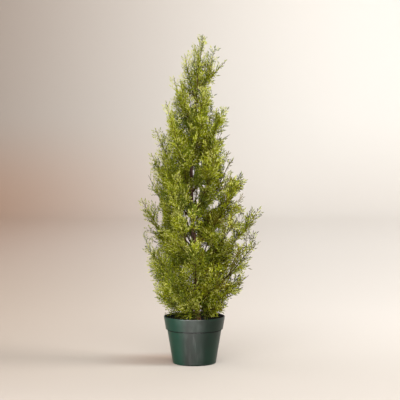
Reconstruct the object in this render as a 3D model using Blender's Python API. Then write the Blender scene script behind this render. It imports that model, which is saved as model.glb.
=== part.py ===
"""Potted cedar topiary: a slim, feathery evergreen of moulded sprays in a round growers' pot.

Metres, +Z up. The origin is the centre of the pot's flat underside, and the plant's front looks
towards -Y. The pot, its fill, the trunk, the boughs and the masses of foliage are one object each.
"""

import math
import random

import bmesh
import bpy
import numpy as np
from mathutils import Matrix, Vector
from mathutils.bvhtree import BVHTree

MM = 0.001
UP = Vector((0, 0, 1))
GOLDEN_TURN = math.radians(137.5)
SEED = 23

# ---- driving dimensions -------------------------------------------------------------------------
HEIGHT = 914 * MM  # from the floor to the leader's tip
GAP = 0.3 * MM  # between pieces that touch

POT_HEIGHT = 132 * MM
POT_FOOT_RADIUS = 60 * MM
POT_NECK_RADIUS = 76 * MM  # of the body, where the rim band starts
BAND_FOOT_RADIUS = 79.7 * MM
BAND_TOP_RADIUS = 85.5 * MM
BAND_HEIGHT = 36 * MM
POT_WALL = 3 * MM
POT_FLOOR = 4 * MM
FILL_DEPTH = 11 * MM  # from the rim down to the fill
POT_SIDES = 32

TRUNK_TOP = 792 * MM
TRUNK_FOOT_RADIUS = 8 * MM
TRUNK_TOP_RADIUS = 1.9 * MM
FLARE = 3.5 * MM  # how much wider the trunk is at its foot
FLARE_HEIGHT = 14 * MM
# the trunk's sideways lean at even steps from its foot to its top
LEAN_X = (8 * MM, 2 * MM, -7 * MM, -6 * MM, 10 * MM)
LEAN_Y = (0, 3 * MM, -2 * MM, 3 * MM, 0)
TRUNK_SIDES, BOUGH_SIDES, TWIG_SIDES = 9, 6, 3

BOUGH_FOOT_RADIUS = 4.2 * MM
BOUGH_TIP_RADIUS = 2.4 * MM
STEM_FOOT_RADIUS = 2.6 * MM
STEM_TIP_RADIUS = 1.6 * MM
TWIG_RADIUS = 1.2 * MM

# ---- branches -----------------------------------------------------------------------------------
# Each tier: name, branches, foot height on the trunk, azimuth of the first one (0 is +X, 90 is +Y),
# height and reach of the tips to the right and to the left, share of the limb that is a bare bough.
TIERS = (
    ("skirt", 5, 132, 188, (176, 190), (98, 108), 0.0),
    ("low", 5, 150, 8, (240, 236), (146, 122), 0.0),
    ("lower", 5, 176, -14, (330, 332), (168, 142), 0.3),
    ("middle", 6, 240, 12, (424, 452), (178, 156), 0.0),
    ("upper", 5, 320, 174, (502, 516), (160, 132), 0.0),
    ("high", 5, 394, 14, (574, 586), (116, 114), 0.0),
    ("higher", 5, 466, 172, (646, 652), (96, 98), 0.0),
    ("neck", 5, 548, 6, (706, 722), (92, 84), 0.0),
    ("collar", 5, 626, 24, (762, 788), (56, 54), 0.0),
    ("tuft", 4, 722, 5, (872, 862), (54, 30), 0.0),
)
FOOT_STEP = 5 * MM  # from one limb of a tier to the next, up the trunk
RISE_POWER = 1.35  # limbs leave the trunk flatter than they end
JITTER_TURN, JITTER_REACH, JITTER_TIP = math.radians(7), 0.05, 8 * MM

# ---- the crown's outline ------------------------------------------------------------------------
# How far foliage may reach from the pot's axis to the right and to the left, at even steps of
# height from CROWN_FOOT to the leader's tip. The front and back lie midway between the two.
CROWN_FOOT = 140 * MM
CROWN_RIGHT = [mm * MM for mm in (74, 136, 164, 168, 138, 106, 84, 46, 52, 14)]
CROWN_LEFT = [mm * MM for mm in (78, 116, 138, 140, 124, 108, 82, 54, 30, 6)]
CLOSE_TO_LIMB = 15 * MM  # foliage this close to its limb may stand out of the crown with it
SPACE_MARGIN = 1.5 * MM  # from each mass's space to the next
LIMB_MARGIN = 1.2 * MM  # from foliage to the trunk, the boughs, the pot and the fill

# ---- foliage ------------------------------------------------------------------------------------
# A mass is a stem with rows of long teeth, and toothed sprays that stand out of it all round.
STEM_ROWS = 3  # of teeth round the stem
STEM_TEETH = 6  # along each row
STEM_REACH = 0.22  # of the teeth, as a share of the limb's length
STEM_BEVEL = math.radians(24)  # half of the angle that a tooth's root takes round the stem
TOOTH_SPREAD = (0.85, 1.1)  # least and most of a tooth's even reach
TOOTH_SHRINK = 0.88  # how a tooth that doesn't fit is drawn in
LEAST_TOOTH = 8 * MM  # a shorter one is left out

SHOOTS = 3  # sprays along a stem
TWIG_SHOOTS = 1  # of those, the ones nearest the foot, which stand on a twig
FIRST_SHOOT, LAST_SHOOT = 0.08, 0.8  # where on the limb the shoots start and end
SHOOT_TWIG = 0.15  # a twig's length, as a share of the limb's
SHOOT_LEAN = (math.radians(50), math.radians(32))  # from the limb, at its foot and at its tip
SHOOT_LIFT = 0.15  # how far a shoot bends up to the light
SHOOT_SWING = 0.3  # how far a shoot may turn from its place round the stem, in radians
SHOOT_SWAY = math.radians(10)  # and from its lean
SHOOT_ROLL = 0.9  # and how far its spray may turn about its own midrib
SPRAY_PAIRS = 3  # of teeth
SPRAY_LENGTH = 0.46  # of the limb's
SPRAY_WIDTH = 0.5  # of its length
SPRAY_HALF_THICKNESS = 1.1 * MM
SPRAY_SINK = 3 * MM  # of its root into the twig
MIDRIB = 0.16  # how wide a blade is between its teeth, as a share of its width there
SWEEP = 0.95  # how far forward a tooth leans, in teeth
TRIES = 10  # places tried for a spray, before a smaller one is tried
TRY_SIZES = (1.0, 0.85, 0.7, 0.55)


class Branch:
    """One limb from the trunk to the tip of its foliage."""

    def __init__(self, name, foot, turn, reach, tip, bare, power=RISE_POWER):
        self.name, self.foot, self.turn, self.reach, self.bare = name, foot, turn, reach, bare
        self.rise, self.power = tip - foot, power
        self.out = Vector((math.cos(turn), math.sin(turn), 0))

    def point(self, share):
        rise = self.rise * share**self.power
        return trunk_centre(self.foot) + self.out * (self.reach * share) + UP * rise

    def direction(self, share):
        step = 0.01
        return (self.point(share + step) - self.point(max(share - step, 0))).normalized()

    def length(self):
        return math.hypot(self.reach, self.rise)


def along(values, share):
    """A smooth curve (Catmull-Rom) through values at even steps, read at a share of its length."""
    place = min(max(share, 0), 1) * (len(values) - 1)
    i = min(int(place), len(values) - 2)
    t = place - i
    a, b = values[max(i - 1, 0)], values[i]
    c, d = values[i + 1], values[min(i + 2, len(values) - 1)]
    slope_b, slope_c = (c - a) / 2, (d - b) / 2
    return (
        b * (1 + 2 * t) * (1 - t) ** 2
        + slope_b * t * (1 - t) ** 2
        + c * t * t * (3 - 2 * t)
        - slope_c * t * t * (1 - t)
    )


def fill_top():
    return POT_HEIGHT - FILL_DEPTH


def trunk_foot():
    return fill_top() + GAP


def trunk_centre(height):
    share = (height - trunk_foot()) / (TRUNK_TOP - trunk_foot())
    return Vector((along(LEAN_X, share), along(LEAN_Y, share), height))


def trunk_radius(height):
    share = min((height - trunk_foot()) / (TRUNK_TOP - trunk_foot()), 1)
    taper = TRUNK_TOP_RADIUS + (TRUNK_FOOT_RADIUS - TRUNK_TOP_RADIUS) * (1 - share)
    return taper + FLARE * math.exp(-(height - trunk_foot()) / FLARE_HEIGHT)


# ---- meshes -------------------------------------------------------------------------------------
def add_object(name, mesh, finish, smooth=True):
    mesh.materials.append(finish)
    if smooth:
        mesh.shade_smooth()
        mesh.set_sharp_from_angle(angle=math.radians(40))
    obj = bpy.data.objects.new(name, mesh)
    bpy.context.scene.collection.objects.link(obj)
    return obj


def mesh_from(name, points, faces):
    mesh = bpy.data.meshes.new(name)
    mesh.from_pydata([tuple(p) for p in points], [], faces)
    shape = bmesh.new()
    shape.from_mesh(mesh)
    bmesh.ops.recalc_face_normals(shape, faces=shape.faces)
    shape.to_mesh(mesh)
    shape.free()
    return mesh


def turned(name, profile, sides):
    """A solid of revolution about Z from (radius, height) pairs that start and end on the axis."""
    points = [(0, 0, profile[0][1]), (0, 0, profile[-1][1])]
    faces = []
    for radius, height in profile[1:-1]:
        for k in range(sides):
            turn = math.tau * k / sides
            points.append((radius * math.cos(turn), radius * math.sin(turn), height))
    rings = len(profile) - 2
    for k in range(sides):
        n = (k + 1) % sides
        faces.append((0, 2 + n, 2 + k))
        last = 2 + (rings - 1) * sides
        faces.append((1, last + k, last + n))
        for ring in range(rings - 1):
            a = 2 + ring * sides
            faces.append((a + k, a + n, a + sides + n, a + sides + k))
    return mesh_from(name, points, faces)


def side_frame(direction):
    """Two unit vectors square to a direction, the second as near to up as it can be."""
    side = direction.cross(UP)
    if side.length < 1e-3:
        side = Vector((1, 0, 0))
    side.normalize()
    return side, side.cross(direction)


def ring_points(centre, direction, radius, sides):
    side, over = side_frame(direction)
    turns = (math.tau * (k + 0.5) / sides for k in range(sides))
    return [centre + (side * math.cos(a) + over * math.sin(a)) * radius for a in turns]


def tube(name, centres, directions, radii, sides):
    """A tapering tube with flat ends, square to its centreline."""
    points, faces = [], []
    for centre, direction, radius in zip(centres, directions, radii):
        points += ring_points(centre, direction, radius, sides)
    for ring in range(len(centres) - 1):
        a = ring * sides
        for k in range(sides):
            n = (k + 1) % sides
            faces.append((a + k, a + n, a + sides + n, a + sides + k))
    faces.append(tuple(reversed(range(sides))))
    faces.append(tuple(range(len(points) - sides, len(points))))
    return mesh_from(name, points, faces)


def limb_tube(name, branch, start, end, radii, sides):
    """A tube along a limb, with its radii at even steps from start to end."""
    steps = len(radii) - 1
    shares = [start + (end - start) * k / steps for k in range(len(radii))]
    centres = [branch.point(s) for s in shares]
    return tube(name, centres, [branch.direction(s) for s in shares], radii, sides)


def tapered(foot, tip, steps):
    return [foot + (tip - foot) * k / steps for k in range(steps + 1)]


class Blade:
    """A flat toothed spray about a midrib, which line(share) gives from its root to its tip."""

    def __init__(self, line, flat, width):
        self.line, self.flat = line, flat
        self.aside = flat.cross(line(1) - line(0)).normalized()
        pitch = 1 / (SPRAY_PAIRS + 0.6)
        self.notch_shares = [(k + 0.8) * pitch for k in range(SPRAY_PAIRS)]
        self.tooth_shares = [min(at + SWEEP * pitch, 0.97) for at in self.notch_shares]
        fullness = [math.sin(math.pi * (0.25 + 0.55 * at)) for at in self.notch_shares]
        self.reaches = [full * width / 2 for full in fullness]

    def tooth(self, side, k):
        return self.line(self.tooth_shares[k]) + self.aside * (side * self.reaches[k])

    def notch(self, side, k):
        return self.line(self.notch_shares[k]) + self.aside * (side * self.reaches[k] * MIDRIB)

    def inner(self, side):
        return [self.line(0)] + [self.notch(side, k) for k in range(SPRAY_PAIRS)]

    def test_points(self):
        """All its corners, with points along its longer edges."""
        found = [self.line(k / 5) for k in range(1, 6)]
        for side in (1, -1):
            inner = self.inner(side)
            for k in range(SPRAY_PAIRS):
                tip = self.tooth(side, k)
                found += [tip, *between(inner[k], tip, 4), *between(tip, inner[k + 1], 4)]
        return found

    def mesh(self, name):
        """Thick along its midrib, and sharp at every tip."""
        lift = self.flat.normalized() * SPRAY_HALF_THICKNESS
        root, pairs = self.line(0), SPRAY_PAIRS
        points = [root + lift * 0.6, root - lift * 0.6, self.line(1)]
        tooth, notch = {}, {}
        for s, side in enumerate((1, -1)):
            for k in range(pairs):
                tooth[s, k] = len(points)
                points.append(self.tooth(side, k))
                notch[s, k] = len(points)
                points += [self.notch(side, k) + lift, self.notch(side, k) - lift]
        faces = []
        for level in range(2):  # upper and lower skins
            inner = [[level] + [notch[s, k] + level for k in range(pairs)] for s in range(2)]
            for s in range(2):
                faces += [(inner[s][k], tooth[s, k], inner[s][k + 1]) for k in range(pairs)]
            faces.append((inner[0][0], inner[0][1], inner[1][1]))
            for k in range(1, pairs):
                faces.append((inner[0][k], inner[0][k + 1], inner[1][k + 1], inner[1][k]))
            faces.append((inner[0][pairs], 2, inner[1][pairs]))
        for s in range(2):  # the edge between the skins, which closes to a point at each tooth
            inner = [(0, 1)] + [(notch[s, k], notch[s, k] + 1) for k in range(pairs)]
            for k in range(pairs):
                faces.append((inner[k][0], inner[k][1], tooth[s, k]))
                faces.append((inner[k + 1][1], inner[k + 1][0], tooth[s, k]))
            faces.append((inner[pairs][0], inner[pairs][1], 2))
        return mesh_from(name, points, faces)


def between(a, b, count):
    return [a.lerp(b, k / count) for k in range(1, count)]


# ---- the branches' places -----------------------------------------------------------------------
def make_branches():
    rng = random.Random(SEED)
    branches = []
    for name, count, foot, first, tips, reaches, bare in TIERS:
        for k in range(count):
            turn = math.radians(first) + math.tau * k / count
            turn += rng.uniform(-JITTER_TURN, JITTER_TURN)
            rightness = (1 + math.cos(turn)) / 2
            reach = (reaches[1] + (reaches[0] - reaches[1]) * rightness) * MM
            tip = (tips[1] + (tips[0] - tips[1]) * rightness) * MM
            reach *= 1 + rng.uniform(-JITTER_REACH, JITTER_REACH)
            tip += rng.uniform(-JITTER_TIP, JITTER_TIP)
            branches.append(
                Branch(f"{name}_{k + 1}", foot * MM + k * FOOT_STEP, turn, reach, tip, bare)
            )
    branches.append(Branch("side_spray", 768 * MM, math.radians(-12), 76 * MM, 836 * MM, 0))
    branches.append(Branch("leader", TRUNK_TOP, 0, 14 * MM, HEIGHT, 0, power=1))
    return branches


def clear_start(branch, radius, trunk_tree):
    """The share of a limb at which its flat end, moved inwards, comes within GAP of the trunk."""
    share = 0.5
    while share > 0:
        disc = [branch.point(share)]
        for part in (0.5, 1):
            disc += ring_points(disc[0], branch.direction(share), radius * part, 24)
        room = min(trunk_tree.find_nearest(p)[3] for p in disc) - GAP
        if room < 0.03 * MM:
            break
        share -= 0.8 * room / branch.length()
    return share


# ---- each mass's own space ----------------------------------------------------------------------
class Axes:
    """Lines of short straight runs, and the distance from points to each of them."""

    def __init__(self, lines):
        self.starts = np.array([line[:-1] for line in lines])
        self.runs = np.array([line[1:] for line in lines]) - self.starts

    def distances(self, points):
        """One row for each point and one column for each line."""
        offset = points[:, None, None, :] - self.starts
        share = (offset * self.runs).sum(3) / (self.runs * self.runs).sum(2)
        offset -= np.clip(share, 0, 1)[..., None] * self.runs
        return np.linalg.norm(offset, axis=3).min(2)


def axis_points(branch, end=1.0, steps=12):
    return np.array([branch.point(end * k / steps) for k in range(steps + 1)])


class Space:
    """Where a mass's blades may lie: nearer to its own limb than to any other."""

    def __init__(self, branches):
        self.limbs = Axes([axis_points(b) for b in branches])
        self.boughs = Axes([axis_points(b, b.bare) for b in branches if b.bare])

    def holds(self, number, corners):
        points = np.array(corners)
        if points[:, 2].max() > HEIGHT:
            return False
        distances = self.limbs.distances(points)
        own = distances[:, number].copy()
        distances[:, number] = math.inf
        if (distances.min(1) < own + SPACE_MARGIN).any():
            return False
        if (self.boughs.distances(points) < BOUGH_FOOT_RADIUS + LIMB_MARGIN).any():
            return False
        close = own < CLOSE_TO_LIMB
        return all(
            (near or in_crown(p)) and clear_of_trunk_and_pot(p) for near, p in zip(close, corners)
        )


def in_crown(point):
    share = (point.z - CROWN_FOOT) / (HEIGHT - CROWN_FOOT)
    right, left = along(CROWN_RIGHT, share), along(CROWN_LEFT, share)
    reach = math.hypot(point.x, point.y)
    rightness = (1 + point.x / max(reach, MM)) / 2
    return reach < left + (right - left) * rightness


def clear_of_trunk_and_pot(point):
    if trunk_foot() < point.z < TRUNK_TOP + 2 * MM:
        centre = trunk_centre(point.z)
        if (point - centre).length < trunk_radius(point.z) + LIMB_MARGIN:
            return False
    if point.z > POT_HEIGHT + LIMB_MARGIN:
        return True
    inside = math.hypot(point.x, point.y) < BAND_FOOT_RADIUS - POT_WALL - LIMB_MARGIN
    return inside and point.z > fill_top() + LIMB_MARGIN


# ---- the rule that a mass grows by --------------------------------------------------------------
class ToothedStem:
    """A mass's stem: a slim tapering core, with rows of long forward teeth drawn in to fit."""

    def __init__(self, branch, number, start, space, rng):
        self.branch, self.start = branch, start
        pitch = (1 - start) / (STEM_TEETH + 1)
        self.ring_shares = [start + pitch * (k + 0.35) for k in range(STEM_TEETH + 1)]
        self.tooth_shares = [min(at + (1 + SWEEP) * pitch, 0.985) for at in self.ring_shares[:-1]]
        self.first_roll = rng.uniform(0, math.tau)
        self.reaches = {}
        for row in range(STEM_ROWS):
            for k in range(STEM_TEETH):
                full = math.sin(math.pi * (0.3 + 0.5 * self.tooth_shares[k]))
                reach = STEM_REACH * branch.length() * full * rng.uniform(*TOOTH_SPREAD)
                while reach > LEAST_TOOTH:
                    if space.holds(number, self.tooth_edge(row, k, reach)):
                        break
                    reach *= TOOTH_SHRINK
                self.reaches[row, k] = reach

    def place(self, share, turn, reach):
        side, over = side_frame(self.branch.direction(share))
        return self.branch.point(share) + (side * math.cos(turn) + over * math.sin(turn)) * reach

    def turn_of(self, row):
        return self.first_roll + row * math.tau / STEM_ROWS

    def tooth_edge(self, row, k, reach):
        tip = self.place(self.tooth_shares[k], self.turn_of(row), reach)
        low, high = (self.branch.point(self.ring_shares[n]) for n in (k, k + 1))
        return [tip, *between(low, tip, 4), *between(high, tip, 4)]

    def mesh(self, name):
        sides = STEM_ROWS * 2
        shares = [self.start, *self.ring_shares]
        points, faces = [], []
        for share, radius in zip(shares, tapered(STEM_FOOT_RADIUS, STEM_TIP_RADIUS, STEM_TEETH + 1)):
            for row in range(STEM_ROWS):
                for turn in (-STEM_BEVEL, STEM_BEVEL):
                    points.append(self.place(share, self.turn_of(row) + turn, radius))
        for ring in range(STEM_TEETH + 1):
            a, b = ring * sides, (ring + 1) * sides
            for row in range(STEM_ROWS):
                low, high, after = 2 * row, 2 * row + 1, (2 * row + 2) % sides
                faces.append((a + high, a + after, b + after, b + high))
                reach = self.reaches[row, ring - 1] if ring else 0
                if reach < LEAST_TOOTH:
                    faces.append((a + low, a + high, b + high, b + low))
                    continue
                tooth = len(points)
                points.append(self.place(self.tooth_shares[ring - 1], self.turn_of(row), reach))
                faces += [(a + low, a + high, tooth), (b + high, b + low, tooth)]
                faces += [(b + low, a + low, tooth), (a + high, b + high, tooth)]
        faces.append(tuple(reversed(range(sides))))
        tip, last = len(points), (STEM_TEETH + 1) * sides
        points.append(self.branch.point(1))
        faces += [(last + k, last + (k + 1) % sides, tip) for k in range(sides)]
        return mesh_from(name, points, faces)


class Shoot:
    """A spray that stands on the stem, or on a twig of its own, at one place along a limb."""

    def __init__(self, branch, share, turn, lean, roll, size, twigged):
        axis = branch.direction(share)
        side, over = side_frame(axis)
        aside = side * math.cos(turn) + over * math.sin(turn)
        heading = axis * math.cos(lean) + aside * math.sin(lean) + UP * SHOOT_LIFT
        heading.normalize()
        flat = heading.cross(axis).cross(heading).normalized()
        flat.rotate(Matrix.Rotation(roll, 3, heading))
        twig = SHOOT_TWIG * branch.length() * size if twigged else 0
        length = SPRAY_LENGTH * branch.length() * size
        self.root = branch.point(share)
        self.twig_end = self.root + heading * twig if twigged else None
        start = self.root + heading * max(twig - SPRAY_SINK, 0)
        self.spray = Blade(lambda at: start + heading * (length * at), flat, length * SPRAY_WIDTH)

    def test_points(self):
        found = self.spray.test_points()
        if self.twig_end:
            found += [*between(self.root, self.twig_end, 5), self.twig_end]
        return found

    def meshes(self):
        if self.twig_end:
            way = (self.twig_end - self.root).normalized()
            radii = (TWIG_RADIUS, TWIG_RADIUS * 0.8)
            yield tube("twig", [self.root, self.twig_end], [way, way], radii, TWIG_SIDES)
        yield self.spray.mesh("spray")


def mass_shoots(branch, number, space, rng):
    """The shoots of a mass that fit its space, each as large as it can be there."""
    first_share = max(branch.bare, FIRST_SHOOT)
    first_turn = rng.uniform(0, math.tau)
    for k in range(SHOOTS):
        out = (k + 0.3) / SHOOTS  # from the first shoot to the last
        share = first_share + (LAST_SHOOT - first_share) * out
        for size in TRY_SIZES:
            shoot = try_shoot(branch, number, space, rng, share, out, size, k, first_turn)
            if shoot:
                yield shoot
                break


def try_shoot(branch, number, space, rng, share, out, size, k, first_turn):
    """A shoot of one size, turned further from its place at each try until it fits, or None."""
    for attempt in range(1, TRIES + 1):
        turn = first_turn + k * GOLDEN_TURN + rng.uniform(-SHOOT_SWING, SHOOT_SWING) * attempt
        lean = SHOOT_LEAN[0] + (SHOOT_LEAN[1] - SHOOT_LEAN[0]) * out
        lean += rng.uniform(-SHOOT_SWAY, SHOOT_SWAY)
        roll = rng.uniform(-SHOOT_ROLL, SHOOT_ROLL)
        shoot = Shoot(branch, share, turn, lean, roll, size, k < TWIG_SHOOTS)
        if space.holds(number, shoot.test_points()):
            return shoot
    return None


def make_mass(branch, number, start, space, finish):
    """The stem, its teeth, its twigs and its sprays, fused into one closed solid."""
    name = "mass_" + branch.name
    rng = random.Random(SEED * 1000 + number)
    mesh = ToothedStem(branch, number, start, space, rng).mesh(name)
    stem = add_object(name, mesh, finish, smooth=False)
    shoots = bpy.data.collections.new("shoots of " + branch.name)
    for shoot in mass_shoots(branch, number, space, rng):
        for mesh in shoot.meshes():
            shoots.objects.link(bpy.data.objects.new(mesh.name, mesh))
    fuse(stem, shoots)
    return stem


def fuse(obj, collection):
    """Joins a collection's objects to obj by one Boolean union, then removes them."""
    union = obj.modifiers.new("fuse", "BOOLEAN")
    union.operation = "UNION"
    union.operand_type = "COLLECTION"
    union.collection = collection
    union.solver = "EXACT"
    bpy.context.scene.collection.children.link(collection)
    bpy.context.view_layer.update()
    fused = bpy.data.meshes.new_from_object(obj.evaluated_get(bpy.context.evaluated_depsgraph_get()))
    obj.modifiers.clear()
    obj.data = fused
    for shoot in list(collection.objects):
        bpy.data.objects.remove(shoot)
    bpy.data.collections.remove(collection)


# ---- pot, fill and trunk ------------------------------------------------------------------------
def inner_radius(height):
    """Of the pot's cavity, which follows the body, and then opens a little inside the band."""
    band_foot = POT_HEIGHT - BAND_HEIGHT
    if height <= band_foot:
        outer = POT_FOOT_RADIUS + (POT_NECK_RADIUS - POT_FOOT_RADIUS) * height / band_foot
        return outer - POT_WALL
    share = (height - band_foot) / BAND_HEIGHT
    low = POT_NECK_RADIUS - POT_WALL
    return low + (BAND_TOP_RADIUS - POT_WALL - low) * share


def make_pot(finish):
    band_foot = POT_HEIGHT - BAND_HEIGHT
    lip = 1.2 * MM
    profile = [
        (0, 0),
        (POT_FOOT_RADIUS - 3 * MM, 0),
        (POT_FOOT_RADIUS - 0.6 * MM, 1.2 * MM),
        (POT_FOOT_RADIUS + 0.4 * MM, 4.5 * MM),
        (POT_NECK_RADIUS, band_foot),
        (BAND_FOOT_RADIUS, band_foot),
        (BAND_TOP_RADIUS, POT_HEIGHT - lip),
        (BAND_TOP_RADIUS - lip, POT_HEIGHT),
        (inner_radius(POT_HEIGHT), POT_HEIGHT),
        (inner_radius(band_foot), band_foot),
        (inner_radius(POT_FLOOR), POT_FLOOR),
        (0, POT_FLOOR),
    ]
    add_object("pot", turned("pot", profile, POT_SIDES), finish)


def make_fill(finish):
    """The cast ballast that the trunk stands in, a slip inside the pot's wall."""
    foot, band_foot, top = POT_FLOOR + GAP, POT_HEIGHT - BAND_HEIGHT, fill_top()
    slip = GAP / math.cos(math.pi / POT_SIDES) + 0.05 * MM
    profile = [(0, foot)]
    profile += [(inner_radius(h) - slip, h) for h in (foot, band_foot, top)]
    profile.append((0, top))
    add_object("fill", turned("fill", profile, POT_SIDES), finish, smooth=False)


def make_trunk(finish):
    low = [trunk_foot() + h * MM for h in (0, 6, 16, 34)]
    rings = 13
    heights = low + [low[-1] + (TRUNK_TOP - low[-1]) * k / rings for k in range(1, rings + 1)]
    centres = [trunk_centre(h) for h in heights]
    directions = [UP] * len(heights)
    mesh = tube("trunk", centres, directions, [trunk_radius(h) for h in heights], TRUNK_SIDES)
    return add_object("trunk", mesh, finish)


def make_material(name, colour, roughness):
    material = bpy.data.materials.new(name)
    material.use_nodes = True
    shader = material.node_tree.nodes["Principled BSDF"]
    shader.inputs["Base Color"].default_value = (*colour, 1)
    shader.inputs["Roughness"].default_value = roughness
    shader.inputs["Metallic"].default_value = 0
    return material


def main():
    for obj in list(bpy.data.objects):
        bpy.data.objects.remove(obj)
    pot_green = make_material("pot green", (0.03, 0.09, 0.06), 0.3)
    fill_black = make_material("fill black", (0.012, 0.011, 0.010), 0.85)
    bark = make_material("bark brown", (0.06, 0.035, 0.02), 0.7)
    foliage = make_material("cedar green", (0.16, 0.20, 0.03), 0.5)

    make_pot(pot_green)
    make_fill(fill_black)
    trunk = make_trunk(bark)
    trunk_tree = BVHTree.FromObject(trunk, bpy.context.evaluated_depsgraph_get())
    branches = make_branches()
    space = Space(branches)
    for number, branch in enumerate(branches):
        if branch.bare:
            start = clear_start(branch, BOUGH_FOOT_RADIUS, trunk_tree)
            radii = tapered(BOUGH_FOOT_RADIUS, BOUGH_TIP_RADIUS, 4)
            name = "bough_" + branch.name
            mesh = limb_tube(name, branch, start, branch.bare, radii, BOUGH_SIDES)
            add_object(name, mesh, bark)
            start = branch.bare + GAP / branch.length()
        else:
            start = clear_start(branch, STEM_FOOT_RADIUS, trunk_tree)
        make_mass(branch, number, start, space, foliage)


main()
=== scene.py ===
"""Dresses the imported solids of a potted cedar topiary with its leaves, twigs, bark, fill and pot.

Metres, +Z up. The origin is the centre of the pot's flat underside, and the plant's front looks
towards -Y. The file is laid out as an add-on and is run as a script.
"""

import math
import random

import bpy
import numpy as np
from bpy.props import FloatProperty, FloatVectorProperty, IntProperty, PointerProperty
from bpy.types import Operator, Panel, PropertyGroup
from mathutils import Matrix, Vector, noise
from mathutils.bvhtree import BVHTree


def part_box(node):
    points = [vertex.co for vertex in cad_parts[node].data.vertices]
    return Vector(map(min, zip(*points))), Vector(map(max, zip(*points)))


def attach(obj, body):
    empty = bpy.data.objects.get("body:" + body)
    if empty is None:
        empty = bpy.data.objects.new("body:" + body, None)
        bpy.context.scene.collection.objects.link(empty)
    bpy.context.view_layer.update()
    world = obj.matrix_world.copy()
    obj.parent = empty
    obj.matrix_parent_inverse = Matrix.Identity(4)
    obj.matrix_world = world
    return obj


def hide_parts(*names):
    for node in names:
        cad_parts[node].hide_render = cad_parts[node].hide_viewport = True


bl_info = {
    "name": "Potted Cedar Topiary",
    "version": (1, 0, 0),
    "blender": (4, 5, 0),
    "location": "View3D > Sidebar > Topiary",
    "description": "Dresses a potted cedar topiary with its leaves, twigs, bark, fill and pot",
    "category": "Object",
}

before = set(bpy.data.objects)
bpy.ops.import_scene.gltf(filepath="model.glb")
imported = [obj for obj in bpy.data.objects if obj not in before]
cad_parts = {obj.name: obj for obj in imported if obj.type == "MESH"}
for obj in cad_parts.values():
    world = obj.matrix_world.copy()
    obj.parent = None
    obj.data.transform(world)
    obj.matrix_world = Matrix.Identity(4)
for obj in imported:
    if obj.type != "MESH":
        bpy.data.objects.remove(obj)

MM = 0.001
UP = Vector((0, 0, 1))
GOLDEN_TURN = math.radians(137.5)
BODY = "root"

# ---- the plant's driving dimensions, as its source has them -------------------------------------
SEED = 23
HEIGHT = 914 * MM  # from the floor to the leader's tip
GAP = 0.3 * MM

POT_HEIGHT = 132 * MM
POT_FOOT_RADIUS = 60 * MM
POT_NECK_RADIUS = 76 * MM
BAND_FOOT_RADIUS = 79.7 * MM
BAND_TOP_RADIUS = 85.5 * MM
BAND_HEIGHT = 36 * MM
POT_WALL = 3 * MM
POT_FLOOR = 4 * MM
FILL_DEPTH = 11 * MM

TRUNK_TOP = 792 * MM
TRUNK_FOOT_RADIUS = 8 * MM
TRUNK_TOP_RADIUS = 1.9 * MM
FLARE = 3.5 * MM
FLARE_HEIGHT = 14 * MM
LEAN_X = (8 * MM, 2 * MM, -7 * MM, -6 * MM, 10 * MM)
LEAN_Y = (0, 3 * MM, -2 * MM, 3 * MM, 0)

BOUGH_FOOT_RADIUS = 4.2 * MM
BOUGH_TIP_RADIUS = 2.4 * MM
STEM_FOOT_RADIUS = 2.6 * MM

# Each tier: name, branches, foot height on the trunk, azimuth of the first one (0 is +X, 90 is +Y),
# height and reach of the tips to the right and to the left, share of the limb that is a bare bough.
TIERS = (
    ("skirt", 5, 132, 188, (176, 190), (98, 108), 0.0),
    ("low", 5, 150, 8, (240, 236), (146, 122), 0.0),
    ("lower", 5, 176, -14, (330, 332), (168, 142), 0.3),
    ("middle", 6, 240, 12, (424, 452), (178, 156), 0.0),
    ("upper", 5, 320, 174, (502, 516), (160, 132), 0.0),
    ("high", 5, 394, 14, (574, 586), (116, 114), 0.0),
    ("higher", 5, 466, 172, (646, 652), (96, 98), 0.0),
    ("neck", 5, 548, 6, (706, 722), (92, 84), 0.0),
    ("collar", 5, 626, 24, (762, 788), (56, 54), 0.0),
    ("tuft", 4, 722, 5, (872, 862), (54, 30), 0.0),
)
FOOT_STEP = 5 * MM
RISE_POWER = 1.35
JITTER_TURN, JITTER_REACH, JITTER_TIP = math.radians(7), 0.05, 8 * MM

CROWN_FOOT = 140 * MM
CROWN_RIGHT = [mm * MM for mm in (74, 136, 164, 168, 138, 106, 84, 46, 52, 14)]
CROWN_LEFT = [mm * MM for mm in (78, 116, 138, 140, 124, 108, 82, 54, 30, 6)]
CLOSE_TO_LIMB = 15 * MM
SPACE_MARGIN = 1.5 * MM
LIMB_MARGIN = 1.2 * MM

STEM_ROWS = 3
STEM_TEETH = 6
STEM_REACH = 0.22
TOOTH_SPREAD = (0.85, 1.1)
TOOTH_SHRINK = 0.88
LEAST_TOOTH = 8 * MM

SHOOTS = 3
TWIG_SHOOTS = 1
FIRST_SHOOT, LAST_SHOOT = 0.08, 0.8
SHOOT_TWIG = 0.15
SHOOT_LEAN = (math.radians(50), math.radians(32))
SHOOT_LIFT = 0.15
SHOOT_SWING = 0.3
SHOOT_SWAY = math.radians(10)
SHOOT_ROLL = 0.9
SPRAY_PAIRS = 3
SPRAY_LENGTH = 0.46
SPRAY_WIDTH = 0.5
SPRAY_SINK = 3 * MM
MIDRIB = 0.16
SWEEP = 0.95
TRIES = 10
TRY_SIZES = (1.0, 0.85, 0.7, 0.55)

# ---- the finer growth ---------------------------------------------------------------------------
# The tiers whose leaves are joined into one piece of under 200,000 triangles
LEAF_GROUPS = (
    ("skirt", "low"),
    ("lower",),
    ("middle",),
    ("upper",),
    ("high", "higher"),
    ("neck", "collar", "tuft", "side_spray", "leader"),
)
# How full the crown is at even steps of height from its foot to the leader's tip
FULLNESS = (1, 1, 1, 1, 1, 1, 0.98, 0.9, 0.68, 0.5)
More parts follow.
